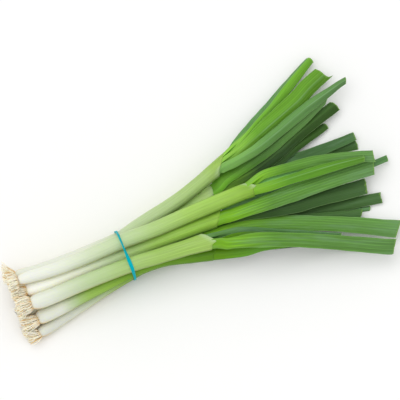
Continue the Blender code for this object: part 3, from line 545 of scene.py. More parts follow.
def read_leaf(plant, stem, index):
    """A leaf's route and base, with the height of its axis as the frame has it."""
    leaf = plant.leaves[index]
    radius = stem["rim_radius"]
    low, high = leaf_share(index, len(plant.leaves), radius)
    middle, half = leaf_base(leaf.side, radius, low, high)
    base = {"low": low, "high": high, "middle": middle, "half": half, "radius": radius}
    route, start, end = leaf_route(plant, stem, leaf, middle)
    length = route[1][-1] - start
    distances = length * np.linspace(0, 1, LEAF_RINGS) ** LEAF_CROWDING
    opened = ease(distances / WRAP_LENGTH)
    _, top = part_of_stem(base, radius, np.array(middle))
    top = top * (1 - opened) + blade_top(base, leaf, distances / length, 0.0) * opened
    places, _ = on_route(route, start + distances)
    places[0] = end + stem["heading"] * CLEARANCE
    heights = tops_at(leaf_name(plant, index), places) - top
    before = np.array([-2, -1]) * LEAF_BACK
    under = smooth_between(stem["distances"], stem["heights"], stem["length"] + before)
    base.update(route=route, start=start, length=length, distances=np.concatenate([before, distances]),
                heights=np.concatenate([under, heights]))
    return base


def add_object(name, data):
    """A new object in the scene."""
    thing = bpy.data.objects.new(name, data)
    bpy.context.scene.collection.objects.link(thing)
    return thing


def add_piece(name, node, mesh, material):
    """A visible piece in place of a node of the frame."""
    mesh.materials.append(material)
    mesh.shade_smooth()
    piece = add_object(name, mesh)
    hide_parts(node)
    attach(piece, "root")


def set_places(mesh, **places):
    """Store where each corner lies on its piece, for the material to read."""
    for name, values in places.items():
        attribute = mesh.attributes.new(name, "FLOAT_VECTOR", "POINT")
        attribute.data.foreach_set("vector", np.asarray(values, np.float32).ravel())


def to_frame(points):
    """Points of the layout as points of the frame, kept inside the frame's box, in metres."""
    points = points.reshape(-1, 3) + [*ORIGIN, 0]
    return np.clip(points * METRES, *np.array(CAD_BOX))


def corner_grid(loops, sides):
    """The numbers of the corners of closed loops, one loop a row."""
    return np.arange(loops * sides).reshape(loops, sides)


def walls_between(loops, next_loops):
    """The faces between each loop of corners and the next loop."""
    quads = (loops, np.roll(loops, -1, axis=1), np.roll(next_loops, -1, axis=1), next_loops)
    return np.stack(quads, axis=-1).reshape(-1, 4)


def tube_faces(corner, first=0):
    """The walls and the two ends of a closed solid through closed loops, its corners numbered from first."""
    corner = corner + first
    return [*walls_between(corner[:-1], corner[1:]).tolist(), corner[0, ::-1].tolist(), corner[-1].tolist()]


def solid_mesh(name, points, faces, **places):
    """A mesh from points of the layout, with each corner's place on its piece."""
    mesh = bpy.data.meshes.new(name)
    mesh.from_pydata(to_frame(points).tolist(), [], faces)
    set_places(mesh, **places)
    return mesh


def rim_course(plant, stem, across):
    """How far ahead of the stem's end its rim lies, at these shares of its radius to the left."""
    slanted = plant.slant * stem["rim_radius"]
    course = plant.rim or ((-1, -slanted), (1, slanted))
    return np.interp(across, *np.array(course, float).T)


def stem_stations(plant, length, ahead):
    """How far along a shank its loops are: up its outside to the rim, and down the open sheath."""
    share = np.linspace(0, 1, STEM_STATIONS)[:, None] ** STEM_CROWDING
    at_rim = ahead * ease((share - RIM_FROM) / (1 - RIM_FROM))
    outside = share * (length + plant.longer) - plant.longer + at_rim
    inside = length + ahead - CUP_DEPTH * np.linspace(0, 1, CUP_RINGS)[:, None]
    return np.vstack([outside, inside])


def shank_radii(plant, length, distances, turns, number):
    """The radii of a shank's loops: uneven but for its rim, narrower at its roots and inside the sheath."""
    from_roots = distances + plant.longer
    radii = stem_radius(plant, from_roots, length + plant.longer)
    even, uneven = EVEN_LENGTH
    unevenness = STEM_UNEVEN * ease((length - distances - even) / (uneven - even))
    radii *= 1 + unevenness * waver(distances / 30 + turns, 3.0, number)
    narrowing, narrower = ROOT_END
    radii *= 1 - narrower * np.clip(1 - from_roots / narrowing, 0, 1) ** 2
    radii[STEM_STATIONS:] -= SHEATH
    return radii


def add_stem(plant, stem, number):
    """A shank: a round sheath, open at its rim, where the leaves come out."""
    turns = full_turn(STEM_SIDES)
    side = -np.cos(turns)
    length = stem["length"]
    ahead = rim_course(plant, stem, side) + RIM_UNEVEN * waver(turns, 1.5, number)
    distances = stem_stations(plant, length, ahead)
    radii = shank_radii(plant, length, distances, turns, number)
    centres, heading = on_route(stem["route"], distances)
    across = side * (radii + widening(plant.wider, distances / length, side))
    points = beside(centres, heading, across, np.zeros_like(across))
    heights = smooth_between(stem["distances"], stem["heights"], distances) + radii * np.sin(turns)
    place = stacked(turns * plant.radius, distances + plant.longer, length + ahead - distances)
    span = stacked(side, np.sin(turns), np.zeros_like(distances))
    name = plant.name + "_stem"
    faces = tube_faces(corner_grid(*distances.shape))
    mesh = solid_mesh(name, np.dstack([points, heights]), faces, place=place, span=span)
    add_piece(name + "_skin", name, mesh, shank_material(plant, length, number))


def bare_part(plant, index, radius, from_axis):
    """Where a leaf's base isn't covered by a later leaf: 1 if bare, 0 under another leaf."""
    bare = np.ones_like(from_axis)
    for later in plant.leaves[index + 1:]:
        right, left = later.side
        outside = np.maximum(right - from_axis / radius, from_axis / radius - left)
        bare *= ease(outside / BARE_EDGE)
    return bare


def blade_across(plant, leaf, base, distances, columns):
    """How far left of a leaf's route its lines are."""
    opened = ease(distances / WRAP_LENGTH)
    out = np.clip(distances / base["length"], 0, 1)
    widths = np.interp(out, np.linspace(0, 1, len(leaf.widths)), leaf.widths)
    half = base["half"] + (widths / 2 - base["half"]) * opened
    rim_right, rim_left = plant.wider[-1][1:]
    room = np.where(columns > 0, rim_left, rim_right) + np.maximum(distances, 0) * RIM_OPENING
    wider = np.minimum(widening(leaf.wider, out, columns), room)
    right, left = waver(distances, 75, leaf.seed + 0.5), waver(distances, 60, leaf.seed)
    wavering = np.where(columns > 0, left, right)
    return half * columns + (wider + WAVER * wavering * opened) * columns


def blade_section(plant, index, base, distances, columns):
    """A leaf's underside and top over its axis, and how free it is of the stem, less at its margins."""
    leaf = plant.leaves[index]
    opened = ease(distances / WRAP_LENGTH)
    out = np.clip(distances / base["length"], 0, 1)
    radius = base["radius"] - FLUSH
    from_axis = base["middle"] + base["half"] * columns
    under, top = part_of_stem(base, radius, from_axis)
    round_top = np.sqrt(np.maximum(radius ** 2 - from_axis ** 2, 0))
    hugging = bare_part(plant, index, radius, from_axis) * (1 - ease(distances / HUG_LENGTH))
    top = top + (np.maximum(round_top, top) - top) * hugging
    high = top * (1 - opened) + blade_top(base, leaf, out, columns) * opened
    blade = BLADE_EDGE + (BLADE_RIB - BLADE_EDGE) * (1 - np.abs(columns) ** RIB_SHAPE)
    thick = blade + (np.maximum(top - under, blade) - blade) * (1 - ease(distances / THIN_LENGTH))
    margin = np.sqrt(1 - np.clip((np.abs(columns) - 1 + EDGE_ROUND) / EDGE_ROUND, 0, 1) ** 2)
    thinned = thick * (1 - MARGIN_THIN * opened * (1 - margin))
    middle = high - thick / 2
    return middle - thinned / 2, middle + thinned / 2, opened * margin


def fold_drop(leaf, columns):
    """How far the two sides of a folded blade hang below its fold."""
    place, right, left = leaf.fold
    return (right * np.maximum(place - columns, 0) / (1 + place)
            + left * np.maximum(columns - place, 0) / (1 - place))


def leaf_lines():
    """Places across a leaf, closer near its edges."""
    columns = np.sin(np.linspace(-math.pi / 2, math.pi / 2, LEAF_LINES) * LINE_CROWDING)
    return columns / columns[-1]


def cut_course(leaf, columns):
    """How far ahead of its plain end a leaf is cut."""
    ragged = leaf.ragged * waver(columns * 8, 6, leaf.seed + 0.7)
    return ragged + np.interp(columns, *np.array(leaf.tip).T)


def leaf_points(plant, stem, leaf, base, distances, columns, offset):
    """Where a leaf's corners are, seen from above. Its last third turns to its ragged cut."""
    inside = distances < 0
    centres, heading = on_route(base["route"], base["start"] + distances)
    centres[inside], heading[inside] = on_route(stem["route"], stem["length"] + distances[inside])
    out = np.clip(distances / base["length"], 0, 1)
    unrolling = plant.slant * (1 - ease(distances / WRAP_LENGTH))
    slant = np.where(inside, stem_slant(plant, distances, 0.0), unrolling)
    slant += leaf.cut * np.clip(3 * out - 2, 0, 1)
    points = beside(centres[:, None], heading[:, None], offset, slant[:, None])
    near_tip = np.clip(1 - (base["length"] - distances) / TIP_ZONE, 0, 1)[:, None]
    return points + heading[:, None] * (cut_course(leaf, columns) * near_tip)[..., None]


def add_leaf(plant, stem, index):
    """A leaf: from inside the sheath, over its arched and ribbed blade, to its cut."""
    leaf = plant.leaves[index]
    base = read_leaf(plant, stem, index)
    length = base["length"]
    back = np.linspace(-LEAF_BACK, 0, BACK_STATIONS, endpoint=False)
    distances = np.concatenate([back, length * np.linspace(0, 1, LEAF_STATIONS) ** LEAF_STATION_CROWDING])
    along = distances[:, None]
    columns = leaf_lines()
    across = blade_across(plant, leaf, base, along, columns)
    under, top, free = blade_section(plant, index, base, along, columns)

    pitch, height, _ = leaf.ribs
    ribs = height * np.cos(2 * np.pi * across / pitch) * free
    before_rim = np.minimum(along, 0)
    inset = LEAF_INSET * ease(-before_rim / INSET_LENGTH)
    shrunk = (stem_radius(plant, stem["length"] + before_rim, stem["length"]) - inset) / base["radius"]
    uneven = SAG * waver(along, 90, leaf.seed + 0.2) * columns
    hang = (uneven - fold_drop(leaf, columns)) * ease(along / WRAP_LENGTH)
    axis = smooth_between(base["distances"], base["heights"], along) + hang
    offset = np.where(along < 0, (base["middle"] + across) * shrunk, across)
    points = leaf_points(plant, stem, leaf, base, distances, columns, offset)

    upper = np.dstack([points, axis + top * shrunk + ribs])
    lower = np.dstack([points, axis + under * shrunk - ribs / 2])
    place = stacked(across, along, length - along)
    span = stacked(columns, np.clip(along / length, 0, 1), np.zeros_like(across))
    loops, place, span = [np.concatenate([one, other[:, ::-1]], axis=1)
                          for one, other in ((upper, lower), (place, place), (span, span))]
    name = leaf_name(plant, index)
    mesh = solid_mesh(name, loops, tube_faces(corner_grid(*loops.shape[:2])), place=place, span=span)
    add_piece(name + "_blade", name, mesh, leaf_material(name, leaf, length))


class Nodes:
    """Shorthand for building a material's nodes."""

    def __init__(self, name):
        self.material = bpy.data.materials.new(name)
        self.material.use_nodes = True
        self.tree = self.material.node_tree
        self.shader = self.tree.nodes["Principled BSDF"]

    def add(self, kind, settings=(), **inputs):
        node = self.tree.nodes.new(kind)
        for key, value in dict(settings).items():
            setattr(node, key, value)
        for key, value in inputs.items():
            self.feed(node.inputs[key.replace("_", " ")], value)
        return node

    def feed(self, socket, value):
        if isinstance(value, bpy.types.NodeSocket):
            self.tree.links.new(value, socket)
        else:
            socket.default_value = value

    def math(self, operation, first, second=0.0):
        node = self.tree.nodes.new("ShaderNodeMath")
        node.operation = operation
        self.feed(node.inputs[0], first)
        self.feed(node.inputs[1], second)
        return node.outputs[0]

    def times(self, product, *factors):
        for factor in factors:
            product = self.math("MULTIPLY", product, factor)
        return product

    def plus(self, first, second):
        return self.math("ADD", first, second)

    def around_zero(self, value, size):
        """A noise of 0 to 1 as a change of up to about this size either way."""
        return self.times(self.math("SUBTRACT", value, 0.5), size)

    def stored(self, name):
        """The three values that are stored on the piece under this name."""
        attribute = self.add("ShaderNodeAttribute", {"attribute_name": name})
        parts = self.add("ShaderNodeSeparateXYZ", Vector=attribute.outputs["Vector"])
        return parts.outputs[0], parts.outputs[1], parts.outputs[2]

    def combine(self, x, y, z):
        return self.add("ShaderNodeCombineXYZ", X=x, Y=y, Z=z).outputs[0]

    def streaks(self, across, along, seed, pitch, stretch, detail=3.0, roughness=0.6):
        """Noise drawn out along a piece: its size across, in millimetres, and how much longer it is."""
        vector = self.combine(self.times(across, 1 / pitch), self.times(along, 1 / (pitch * stretch)), seed)
        node = self.add("ShaderNodeTexNoise", Vector=vector, Scale=1.0, Detail=detail, Roughness=roughness)
        return node.outputs["Fac"]

    def remap(self, value, low, high, start=0.0, end=1.0):
        """A value that goes smoothly from start, where the given one is low, to end, where it is high."""
        node = self.add("ShaderNodeMapRange", {"interpolation_type": "SMOOTHSTEP"})
        for socket, given in zip(node.inputs, (value, low, high, start, end)):
            self.feed(socket, given)
        return node.outputs[0]

    def ramp(self, value, stops):
        """A colour that runs straight from each given one (place, colour) to the next."""
        node = self.add("ShaderNodeValToRGB", Fac=value)
        elements = node.color_ramp.elements
        while len(elements) < len(stops):
            elements.new(0.5)
        for element, (place, colour) in zip(elements, stops):
            element.position = place
            element.color = colour
        return node.outputs[0]

    def mix(self, share, first, second, blend="MIX"):
        node = self.add("ShaderNodeMix", {"data_type": "RGBA", "blend_type": blend})
        for socket, given in zip((node.inputs[0], node.inputs[6], node.inputs[7]), (share, first, second)):
            self.feed(socket, given)
        return node.outputs[2]

    def tint(self, share, colour, towards):
        return self.mix(share, colour, linear(towards))

    def brighten(self, colour, factor):
        """The colour times a grey value."""
        return self.mix(1.0, colour, self.combine(factor, factor, factor), "MULTIPLY")

    def bump(self, height, depth):
        node = self.add("ShaderNodeBump", Height=height, Distance=depth, Strength=1.0)
        self.feed(self.shader.inputs["Normal"], node.outputs[0])

    def finish(self, colour, roughness, **values):
        self.feed(self.shader.inputs["Base Color"], colour)
        self.feed(self.shader.inputs["Roughness"], roughness)
        for key, value in values.items():
            self.shader.inputs[key.replace("_", " ")].default_value = value
        return self.material


def shank_fibres(nodes, around, along, length, number):
    """Fine fibres along a shank, and the light they give it, more uneven towards its rim."""
    fibres = nodes.streaks(around, along, number * 7.7, pitch=0.75, stretch=60.0, detail=4.0, roughness=0.65)
    lines = nodes.streaks(around, along, number * 1.9, pitch=1.5, stretch=90.0, detail=2.0, roughness=0.5)
    strength = nodes.remap(along, 0.15 * length, length, 0.08, 0.6)
    change = nodes.times(nodes.around_zero(nodes.plus(fibres, lines), 1.0), strength)
    change = nodes.math("SUBTRACT", change, nodes.times(strength, 0.5))
    return fibres, nodes.plus(change, 1.0)


def membrane_cover(nodes, membrane, rim, side, fibres):
    """How much a pale membrane covers a shank: near the rim, on its part of the round, in uneven lines."""
    right, left, reach, strength = membrane
    return nodes.times(nodes.remap(rim, reach, 0.4), strength,
                       nodes.remap(side, right - 0.15, right + 0.15),
                       nodes.remap(side, left + 0.15, left - 0.15),
                       nodes.remap(fibres, 0.25, 0.6, 0.6, 1.0))


def shank_material(plant, length, number):
    """A shank, white at its root end and greener towards its rim, with fine lengthwise fibres and painted
    shade on its lower sides.
    """
    nodes = Nodes(plant.name + "_shank")
    around, along, rim = nodes.stored("place")
    side, height, _ = nodes.stored("span")
    patches = nodes.streaks(around, along, number * 3.1, pitch=9.0, stretch=4.0)
    greens = [(place, grey(value / GREENEST)) for place, value in plant.green]
    green = nodes.ramp(nodes.math("DIVIDE", along, length), greens)
    green = nodes.plus(green, nodes.around_zero(patches, 0.06))
    colour = nodes.ramp(green, [(place / GREENEST, linear(stop)) for place, stop in SHANK_STOPS])
    fibres, light = shank_fibres(nodes, around, along, length, number)
    # Painted light and shade: each stem made lighter or darker for how lit it lies among the others.
    colour = nodes.brighten(colour, nodes.times(light, plant.bright))

    if plant.membrane:
        pale = membrane_cover(nodes, plant.membrane, rim, side, fibres)
        colour = nodes.tint(pale, colour, MEMBRANE)
    # Painted shade: the lower sides of a shank's green part tinted dark olive, most on its right side, as if
    # shaded by the shanks beside it.
    under = nodes.times(nodes.remap(height, 0.52, 0.1), nodes.remap(green, 0.15, 0.35, 0.0, 0.75),
                        nodes.remap(side, 0.2, -0.5, 0.2, 1.0))
    colour = nodes.tint(under, colour, SHANK_PAINTED_SHADE)
    # Painted shade in the grooves between the shanks: the lower sides of their white parts tinted
    # yellow-olive.
    groove_shade = nodes.times(nodes.remap(height, 0.55, -0.1), nodes.remap(green, 0.6, 0.2, 0.0, 0.55))
    colour = nodes.tint(groove_shade, colour, SHANK_GROOVE_SHADE)
    root_line = nodes.times(nodes.remap(along, 2.0, 0.0), 0.2)
    # Tan over the last 14 mm of a shank, more on its lower sides: partly its dry skin there, partly painted
    # shade in the grooves between the shanks.
    root_end_tan_and_shade = nodes.times(nodes.remap(along, 14.0, 2.0), nodes.remap(height, 0.75, 0.1, 0.0, 0.5))
    colour = nodes.tint(nodes.plus(root_line, root_end_tan_and_shade), colour, ROOT_TAN)
    nodes.bump(fibres, 0.00008)
    return nodes.finish(colour, nodes.remap(patches, 0.2, 0.8, 0.36, 0.5), Specular_IOR_Level=0.25,
                        Subsurface_Weight=0.25, Subsurface_Radius=(0.9, 1.0, 0.5), Subsurface_Scale=0.002)


def leaf_greens(nodes, leaf, out):
    """A leaf's greens, from its rim, where they may go on from the stem's, to its cut."""
    base, middle, end = LEAF_KINDS[leaf.kind]
    if leaf.plain:
        places, greens = zip(*SHANK_STOPS)
        base = [np.interp(leaf.plain, places, shades) for shades in zip(*greens)]
    greens = [linear(colour) for colour in (base, base, middle, end)]
    return nodes.ramp(out, tuple(zip(GREEN_PLACES, greens)))


def leaf_light(nodes, leaf, across, along, veins, bands):
    """The light that veins, bands and the crests of the ribs give a leaf."""
    pitch, _, lightness = leaf.ribs
    change = nodes.plus(nodes.around_zero(veins, 0.5), nodes.around_zero(bands, 0.45))
    crest = nodes.math("COSINE", nodes.times(across, 2 * math.pi / pitch))
    patches = nodes.streaks(across, along, leaf.seed * 4.1, pitch=2.4, stretch=14.0)
    fading = nodes.times(nodes.remap(patches, 0.3, 0.65, 0.15, 1.0), nodes.remap(along, 4, 25))
    crest = nodes.times(nodes.remap(crest, 0.1, 1.0), fading)
    return nodes.plus(nodes.plus(change, nodes.times(crest, 2.2 * lightness)), 1.0)


def fold_tints(nodes, leaf, colour, column, along, bands):
    """A leaf's colour with a painted highlight along its fold, and waxy past it where its outer side shows.
    """
    fold = leaf.fold[0]
    past_rim = nodes.remap(along, 10, 45)
    beside_fold = nodes.math("ABSOLUTE", nodes.math("SUBTRACT", column, fold))
    # Painted highlight along the fold.
    fold_highlight = nodes.times(nodes.remap(beside_fold, 0.2, 0.0, 0.0, 0.42), past_rim,
                        nodes.remap(bands, 0.35, 0.6, 0.3, 1.0))
    colour = nodes.tint(fold_highlight, colour, PAINTED_RIDGE_HIGHLIGHT)
    if leaf.turned:
        outer = nodes.times(nodes.remap(column, fold - 0.05, fold + 0.05), past_rim, 0.85)
        colour = nodes.tint(outer, colour, LEAF_KINDS["waxy"][1])
    return colour


def leaf_material(name, leaf, length):
    """A blade: greener away from the rim, with light ribs, patches of wax, a fresh cut, and painted light
    and shade.
    """
    nodes = Nodes(name)
    across, along, tip = nodes.stored("place")
    column, _, _ = nodes.stored("span")
    veins = nodes.streaks(across, along, leaf.seed * 5.3, pitch=0.9, stretch=110.0, roughness=0.65)
    bands = nodes.streaks(across, along, leaf.seed * 2.9, pitch=3.2, stretch=30.0)
    bloom = nodes.streaks(across, along, leaf.seed * 1.3, pitch=5.0, stretch=9.0)
    # A leaf's shade is partly its own tone and partly painted light and shade for how lit it lies among the
    # others.
    light = nodes.times(leaf_light(nodes, leaf, across, along, veins, bands), leaf.shade)
    # Painted light and shade: the two sides of the fold given a different lightness.
    if leaf.painted_fold_shading:
        fold = leaf.fold[0]
        light = nodes.times(light, nodes.remap(column, fold - 0.06, fold + 0.06, *leaf.painted_fold_shading))
    colour = nodes.brighten(leaf_greens(nodes, leaf, nodes.math("DIVIDE", along, length)), light)

    most_wax = 0.25 if leaf.kind in WAXED_KINDS else 0.08
    colour = nodes.tint(nodes.remap(bloom, 0.42, 0.75, 0.0, most_wax), colour, WAX)
    if leaf.fold != UNFOLDED:
        colour = fold_tints(nodes, leaf, colour, column, along, bands)
    # Painted highlight along both edges of the blade.
    margin = nodes.remap(nodes.math("ABSOLUTE", column), 0.93, 0.99)
    colour = nodes.tint(nodes.times(margin, 0.45, nodes.remap(along, 5, 30)), colour, BLADE_EDGE_HIGHLIGHT)
    colour = nodes.tint(nodes.times(nodes.remap(tip, 1.3, 0.3), 0.5), colour, CUT_EDGE)
    nodes.bump(veins, 0.0001)
    return nodes.finish(colour, nodes.remap(bloom, 0.3, 0.7, 0.42, 0.6), Specular_IOR_Level=0.14,
                        Subsurface_Weight=0.06, Subsurface_Radius=(0.3, 0.8, 0.1), Subsurface_Scale=0.001)


# Roots
ROOT_SEED = 100        # and one more for each plant
TUFT_STRANDS = 110
STRAND_SIDES = 6
STRAND_STATIONS = 9
STRAND_RADIUS = (0.34, 0.62)
STRAND_BASE = 1.15     # how much thicker a strand is at its base
STRAND_THINNING = 0.35    # and how much of that it loses to its trimmed end
STRAND_TURN = 2.4      # each strand leaves the base this far round from the last one, in radians
TURN_UNEVEN = 0.3      # and this far off that
TRIM_UNEVEN = (-0.72, 2.4)    # how far from the trimmed place strands end, away from and towards the base
TUFT_START = 0.7       # where the outermost roots leave the base, as a share of the stem's radius
TUFT_SPREAD = 1.42     # how far out their trimmed ends are
TUFT_OPENING = 0.55    # under 1: a tuft opens mostly near the base
TUFT_SINK = 1.0        # how far inside the stem's end the roots start
STRAND_LEAN = 3.0      # how far a strand's end is off the others' direction
LEAN_BENDING = 1.5     # over 1: it leans mostly near its end
STRAND_WANDER = 1.2    # how far it bends on its way, with a second, shorter bend of half that
HALF_WAVE = 3.1        # a strand's bend, in radians from its base to its end
TUFT_CLUMPS = 8        # strands next to each other lean and are trimmed alike
CLUMP_LEAN = 1.2
CLUMP_TRIM = 2.0
CLUMP_MIDDLE = 0.7     # the clumps past this share are trimmed shorter
CLUMP_CHANCE = 0.5     # how often a strand's tone is like its clump's
PLATE_LENGTH = 1.6
PLATE_RADIUS = 0.55    # as a share of the stem's
PLATE_TONE = 0.9


def strand_points(centre, axes, line):
    """The corners of a tube along a wandering line, and how far along it each is."""
    forward, left, up = axes
    turns = full_turn(STRAND_SIDES)
    share = np.linspace(0, 1, STRAND_STATIONS)[:, None]
    spread = line["ring"] * (TUFT_START + (TUFT_SPREAD - TUFT_START) * share ** TUFT_OPENING)
    middle = centre + line["outward"] * spread + forward * (TUFT_SINK - (line["length"] + TUFT_SINK) * share)
    middle = middle + line["lean"] * share ** LEAN_BENDING
    middle = middle + line["bend"] * np.sin(HALF_WAVE * share)
    middle = middle + line["second"] * np.sin(2 * HALF_WAVE * share)
    girth = line["girth"] * (STRAND_BASE - STRAND_THINNING * share)
    round_it = left * np.cos(turns)[:, None] + up * np.sin(turns)[:, None]
    points = middle[:, None] + round_it * girth[..., None]
    return points, np.broadcast_to(share, points.shape[:2])


def off_axis(rng, axes, size):
    """A step of up to this size to one side and up or down."""
    _, left, up = axes
    return (left * rng.uniform(-1, 1) + up * rng.uniform(-1, 1)) * size


def plate_line(radius, up):
    """The woody plate that the roots grow from, as one short thick strand."""
    still = 0 * up
    return {"ring": 0.0, "outward": up, "length": PLATE_LENGTH, "girth": PLATE_RADIUS * radius,
            "lean": still, "bend": still, "second": still, "tone": PLATE_TONE}


def strand_lines(plant, root, axes, rng):
    """The course, thickness and tone of every root strand."""
    _, left, up = axes
    trimmed_at, lean_left = plant.tuft
    clumps = [(off_axis(rng, axes, CLUMP_LEAN), rng.random()) for _ in range(TUFT_CLUMPS)]
    lines = []
    for k in range(TUFT_STRANDS):
        turn = k * STRAND_TURN + rng.uniform(-TURN_UNEVEN, TURN_UNEVEN)
        clump_lean, short = clumps[int(turn / (2 * math.pi) * TUFT_CLUMPS) % TUFT_CLUMPS]
        trimmed = trimmed_at + rng.uniform(*TRIM_UNEVEN) + (short - CLUMP_MIDDLE) * CLUMP_TRIM
        lean, bend, second = [off_axis(rng, axes, size)
                              for size in (STRAND_LEAN, STRAND_WANDER, STRAND_WANDER / 2)]
        girth = rng.uniform(*STRAND_RADIUS)
        like_clump = rng.random() < CLUMP_CHANCE
        tone = rng.random()
        if like_clump:
            tone = (tone + short) / 2
        lines.append({"ring": plant.radius * math.sqrt((k + 0.5) / TUFT_STRANDS),
                      "outward": left * math.cos(turn) + up * math.sin(turn),
                      "length": root[0] - trimmed, "girth": girth, "tone": tone,
                      "lean": lean + clump_lean + left * lean_left, "bend": bend, "second": second})
    return lines


def add_roots(plant, stem, number, material):
    """A plant's trimmed roots: a dense brush of bent strands round a small woody plate."""
    start, heading = on_route(stem["route"], np.array([-plant.longer]))
    root = np.array([*start[0], stem["heights"][0]])
    along, across = heading[0]
    axes = np.array([[along, across, 0.0], [-across, along, 0.0], [0.0, 0.0, 1.0]])
    lines = [plate_line(plant.radius, axes[2])]
    lines += strand_lines(plant, root, axes, random.Random(ROOT_SEED + number))
    corner = corner_grid(STRAND_STATIONS, STRAND_SIDES)
    points = []
    places = []
    faces = []
    for k, line in enumerate(lines):
        corners, share = strand_points(root, axes, line)
        points.append(corners)
        places.append(stacked(line["tone"], share, line["length"] * share))
        faces += tube_faces(corner, k * corner.size)
    name = plant.name + "_roots"
    mesh = solid_mesh(name, np.array(points), faces, place=places)
    add_piece(name + "_strands", name, mesh, material)


def root_material():
    """Cream roots, tan where they leave the plate, and some of them tan all along."""
    nodes = Nodes("roots")
    tone, share, along = nodes.stored("place")
    tan = nodes.plus(nodes.remap(share, 0.35, 0.0, 0.0, 0.45), nodes.remap(tone, 0.6, 0.92, 0.0, 0.75))
    speckle = nodes.streaks(nodes.times(tone, 40.0), along, 0.0, pitch=0.8, stretch=1.0)
    tan = nodes.plus(tan, nodes.around_zero(speckle, 0.3))
    colour = nodes.mix(tan, linear(ROOT_CREAM), linear(ROOT_TAN))
    nodes.bump(speckle, 0.0001)
    return nodes.finish(colour, nodes.remap(speckle, 0.2, 0.8, 0.65, 0.85), Specular_IOR_Level=0.2,
                        Subsurface_Weight=0.2, Subsurface_Radius=(1.0, 0.8, 0.5), Subsurface_Scale=0.001)


# Elastic band
BAND_STATIONS = 420
BAND_STEP = 0.4        # about the way between two stations
BAND_GAP = 0.12        # air between the band and the shanks that it is drawn over
BAND_THICK = 0.9
BAND_CORNERS = 20      # corners of its section
BAND_SQUARENESS = 0.55    # 1 would be an oval section, 0 a sharp-edged one
BAND_RIB = 0.05        # height of its ribs
RIB_RATE = 9           # and how close they are, in radians a millimetre
ROUND_SAMPLES = 180    # points round a shank that the band may rest on
# (left, up, share of its width that is left where it is stretched)
BAND_STRETCHED = ((26, 25, 0.75), (10, 48, 0.8), (-10, 44, 1.0), (-26, 28, 0.6), (0, 0, 0.9))


def convex_outline(points):
    """The points of the convex hull, counter-clockwise."""
    points = sorted(map(tuple, points))
    outline = []
    for run in (points, points[::-1]):
        chain = []
        for p in run:
            while len(chain) > 1 and ((chain[-1][0] - chain[-2][0]) * (p[1] - chain[-2][1])
                                      - (chain[-1][1] - chain[-2][1]) * (p[0] - chain[-2][0])) <= 0:
                chain.pop()
            chain.append(p)
        outline += chain[:-1]
    return np.array(outline)


def band_path(stems):
    """Evenly spaced points of the band's middle line, drawn tight round the shanks."""
    margin = BAND_GAP + BAND_THICK / 2
    turns = full_turn(ROUND_SAMPLES)
    points = []
    for plant, stem in zip(PLANTS, stems):
        curve, along = stem["route"]
        for edge in (-BAND_WIDTH / 2, BAND_WIDTH / 2):
            distance = np.array([np.interp(edge, curve[:, 0], along)])
            y = np.interp(edge, curve[:, 0], curve[:, 1])
            z = smooth_between(stem["distances"], stem["heights"], distance)[0]
            reach = stem_radius(plant, distance, stem["length"])[0] + margin
            points += [(y + reach * math.cos(t), z + reach * math.sin(t)) for t in turns]
    outline = convex_outline(points)
    closed = np.vstack([outline, outline[:1]])
    along = distance_along(closed)
    places = np.linspace(0, along[-1], BAND_STATIONS, endpoint=False)
    return np.column_stack([np.interp(places, along, closed[:, axis]) for axis in (0, 1)])


def round_band(path, given):
    """Values all round the band between the ones given at points (left, up, value)."""
    places = [np.argmin(np.hypot(path[:, 0] - y, path[:, 1] - z)) for y, z, _ in given]
    values = [value for _, _, value in given]
    return np.interp(np.arange(BAND_STATIONS), places, values, period=BAND_STATIONS)


def band_rolls(path):
    """How far the band is turned on edge at each of its points, in radians."""
    rolls = round_band(path, BAND_TURNS)
    for _ in range(TURN_SMOOTHING):
        rolls = (np.roll(rolls, 1) + 2 * rolls + np.roll(rolls, -1)) / 4
    return np.radians(rolls)[:, None]


def add_band(stems):
    """The elastic band: a flat strip with rounded edges, partly turned on edge."""
    path = band_path(stems)
    rolls = band_rolls(path)
    ahead = np.roll(path, -1, axis=0) - np.roll(path, 1, axis=0)
    ahead /= np.hypot(*ahead.T)[:, None]
    flat = np.zeros(BAND_STATIONS)
    straight_out = np.column_stack([flat, ahead[:, 1], -ahead[:, 0]])
    along_stems = np.array([1.0, 0.0, 0.0])
    turned_out = straight_out * np.cos(rolls) + along_stems * np.sin(rolls)
    turned_along = along_stems * np.cos(rolls) - straight_out * np.sin(rolls)
    lift = np.abs(np.sin(rolls)) * BAND_WIDTH / 2 - (1 - np.cos(rolls)) * BAND_THICK / 2
    middle = np.column_stack([flat, path]) + straight_out * lift
    edge = full_turn(BAND_CORNERS)
    narrowed = round_band(path, BAND_STRETCHED)[:, None]
    wide = np.sign(np.cos(edge)) * np.abs(np.cos(edge)) ** BAND_SQUARENESS * BAND_WIDTH / 2
    deep = np.sign(np.sin(edge)) * np.abs(np.sin(edge)) ** BAND_SQUARENESS * BAND_THICK / 2
    deep = deep + BAND_RIB * np.cos(wide * RIB_RATE) * np.sign(deep)
    loops = (middle[:, None, :] + turned_along[:, None, :] * (wide * narrowed)[..., None]
             + turned_out[:, None, :] * deep[None, :, None])
    corner = corner_grid(BAND_STATIONS, BAND_CORNERS)
    faces = walls_between(corner, np.roll(corner, -1, axis=0)).tolist()
    around = np.arange(BAND_STATIONS)[:, None] * BAND_STEP
    mesh = solid_mesh("band", loops, faces, place=stacked(wide, around, 0.0))
    add_piece("band_strip", "band", mesh, band_material())


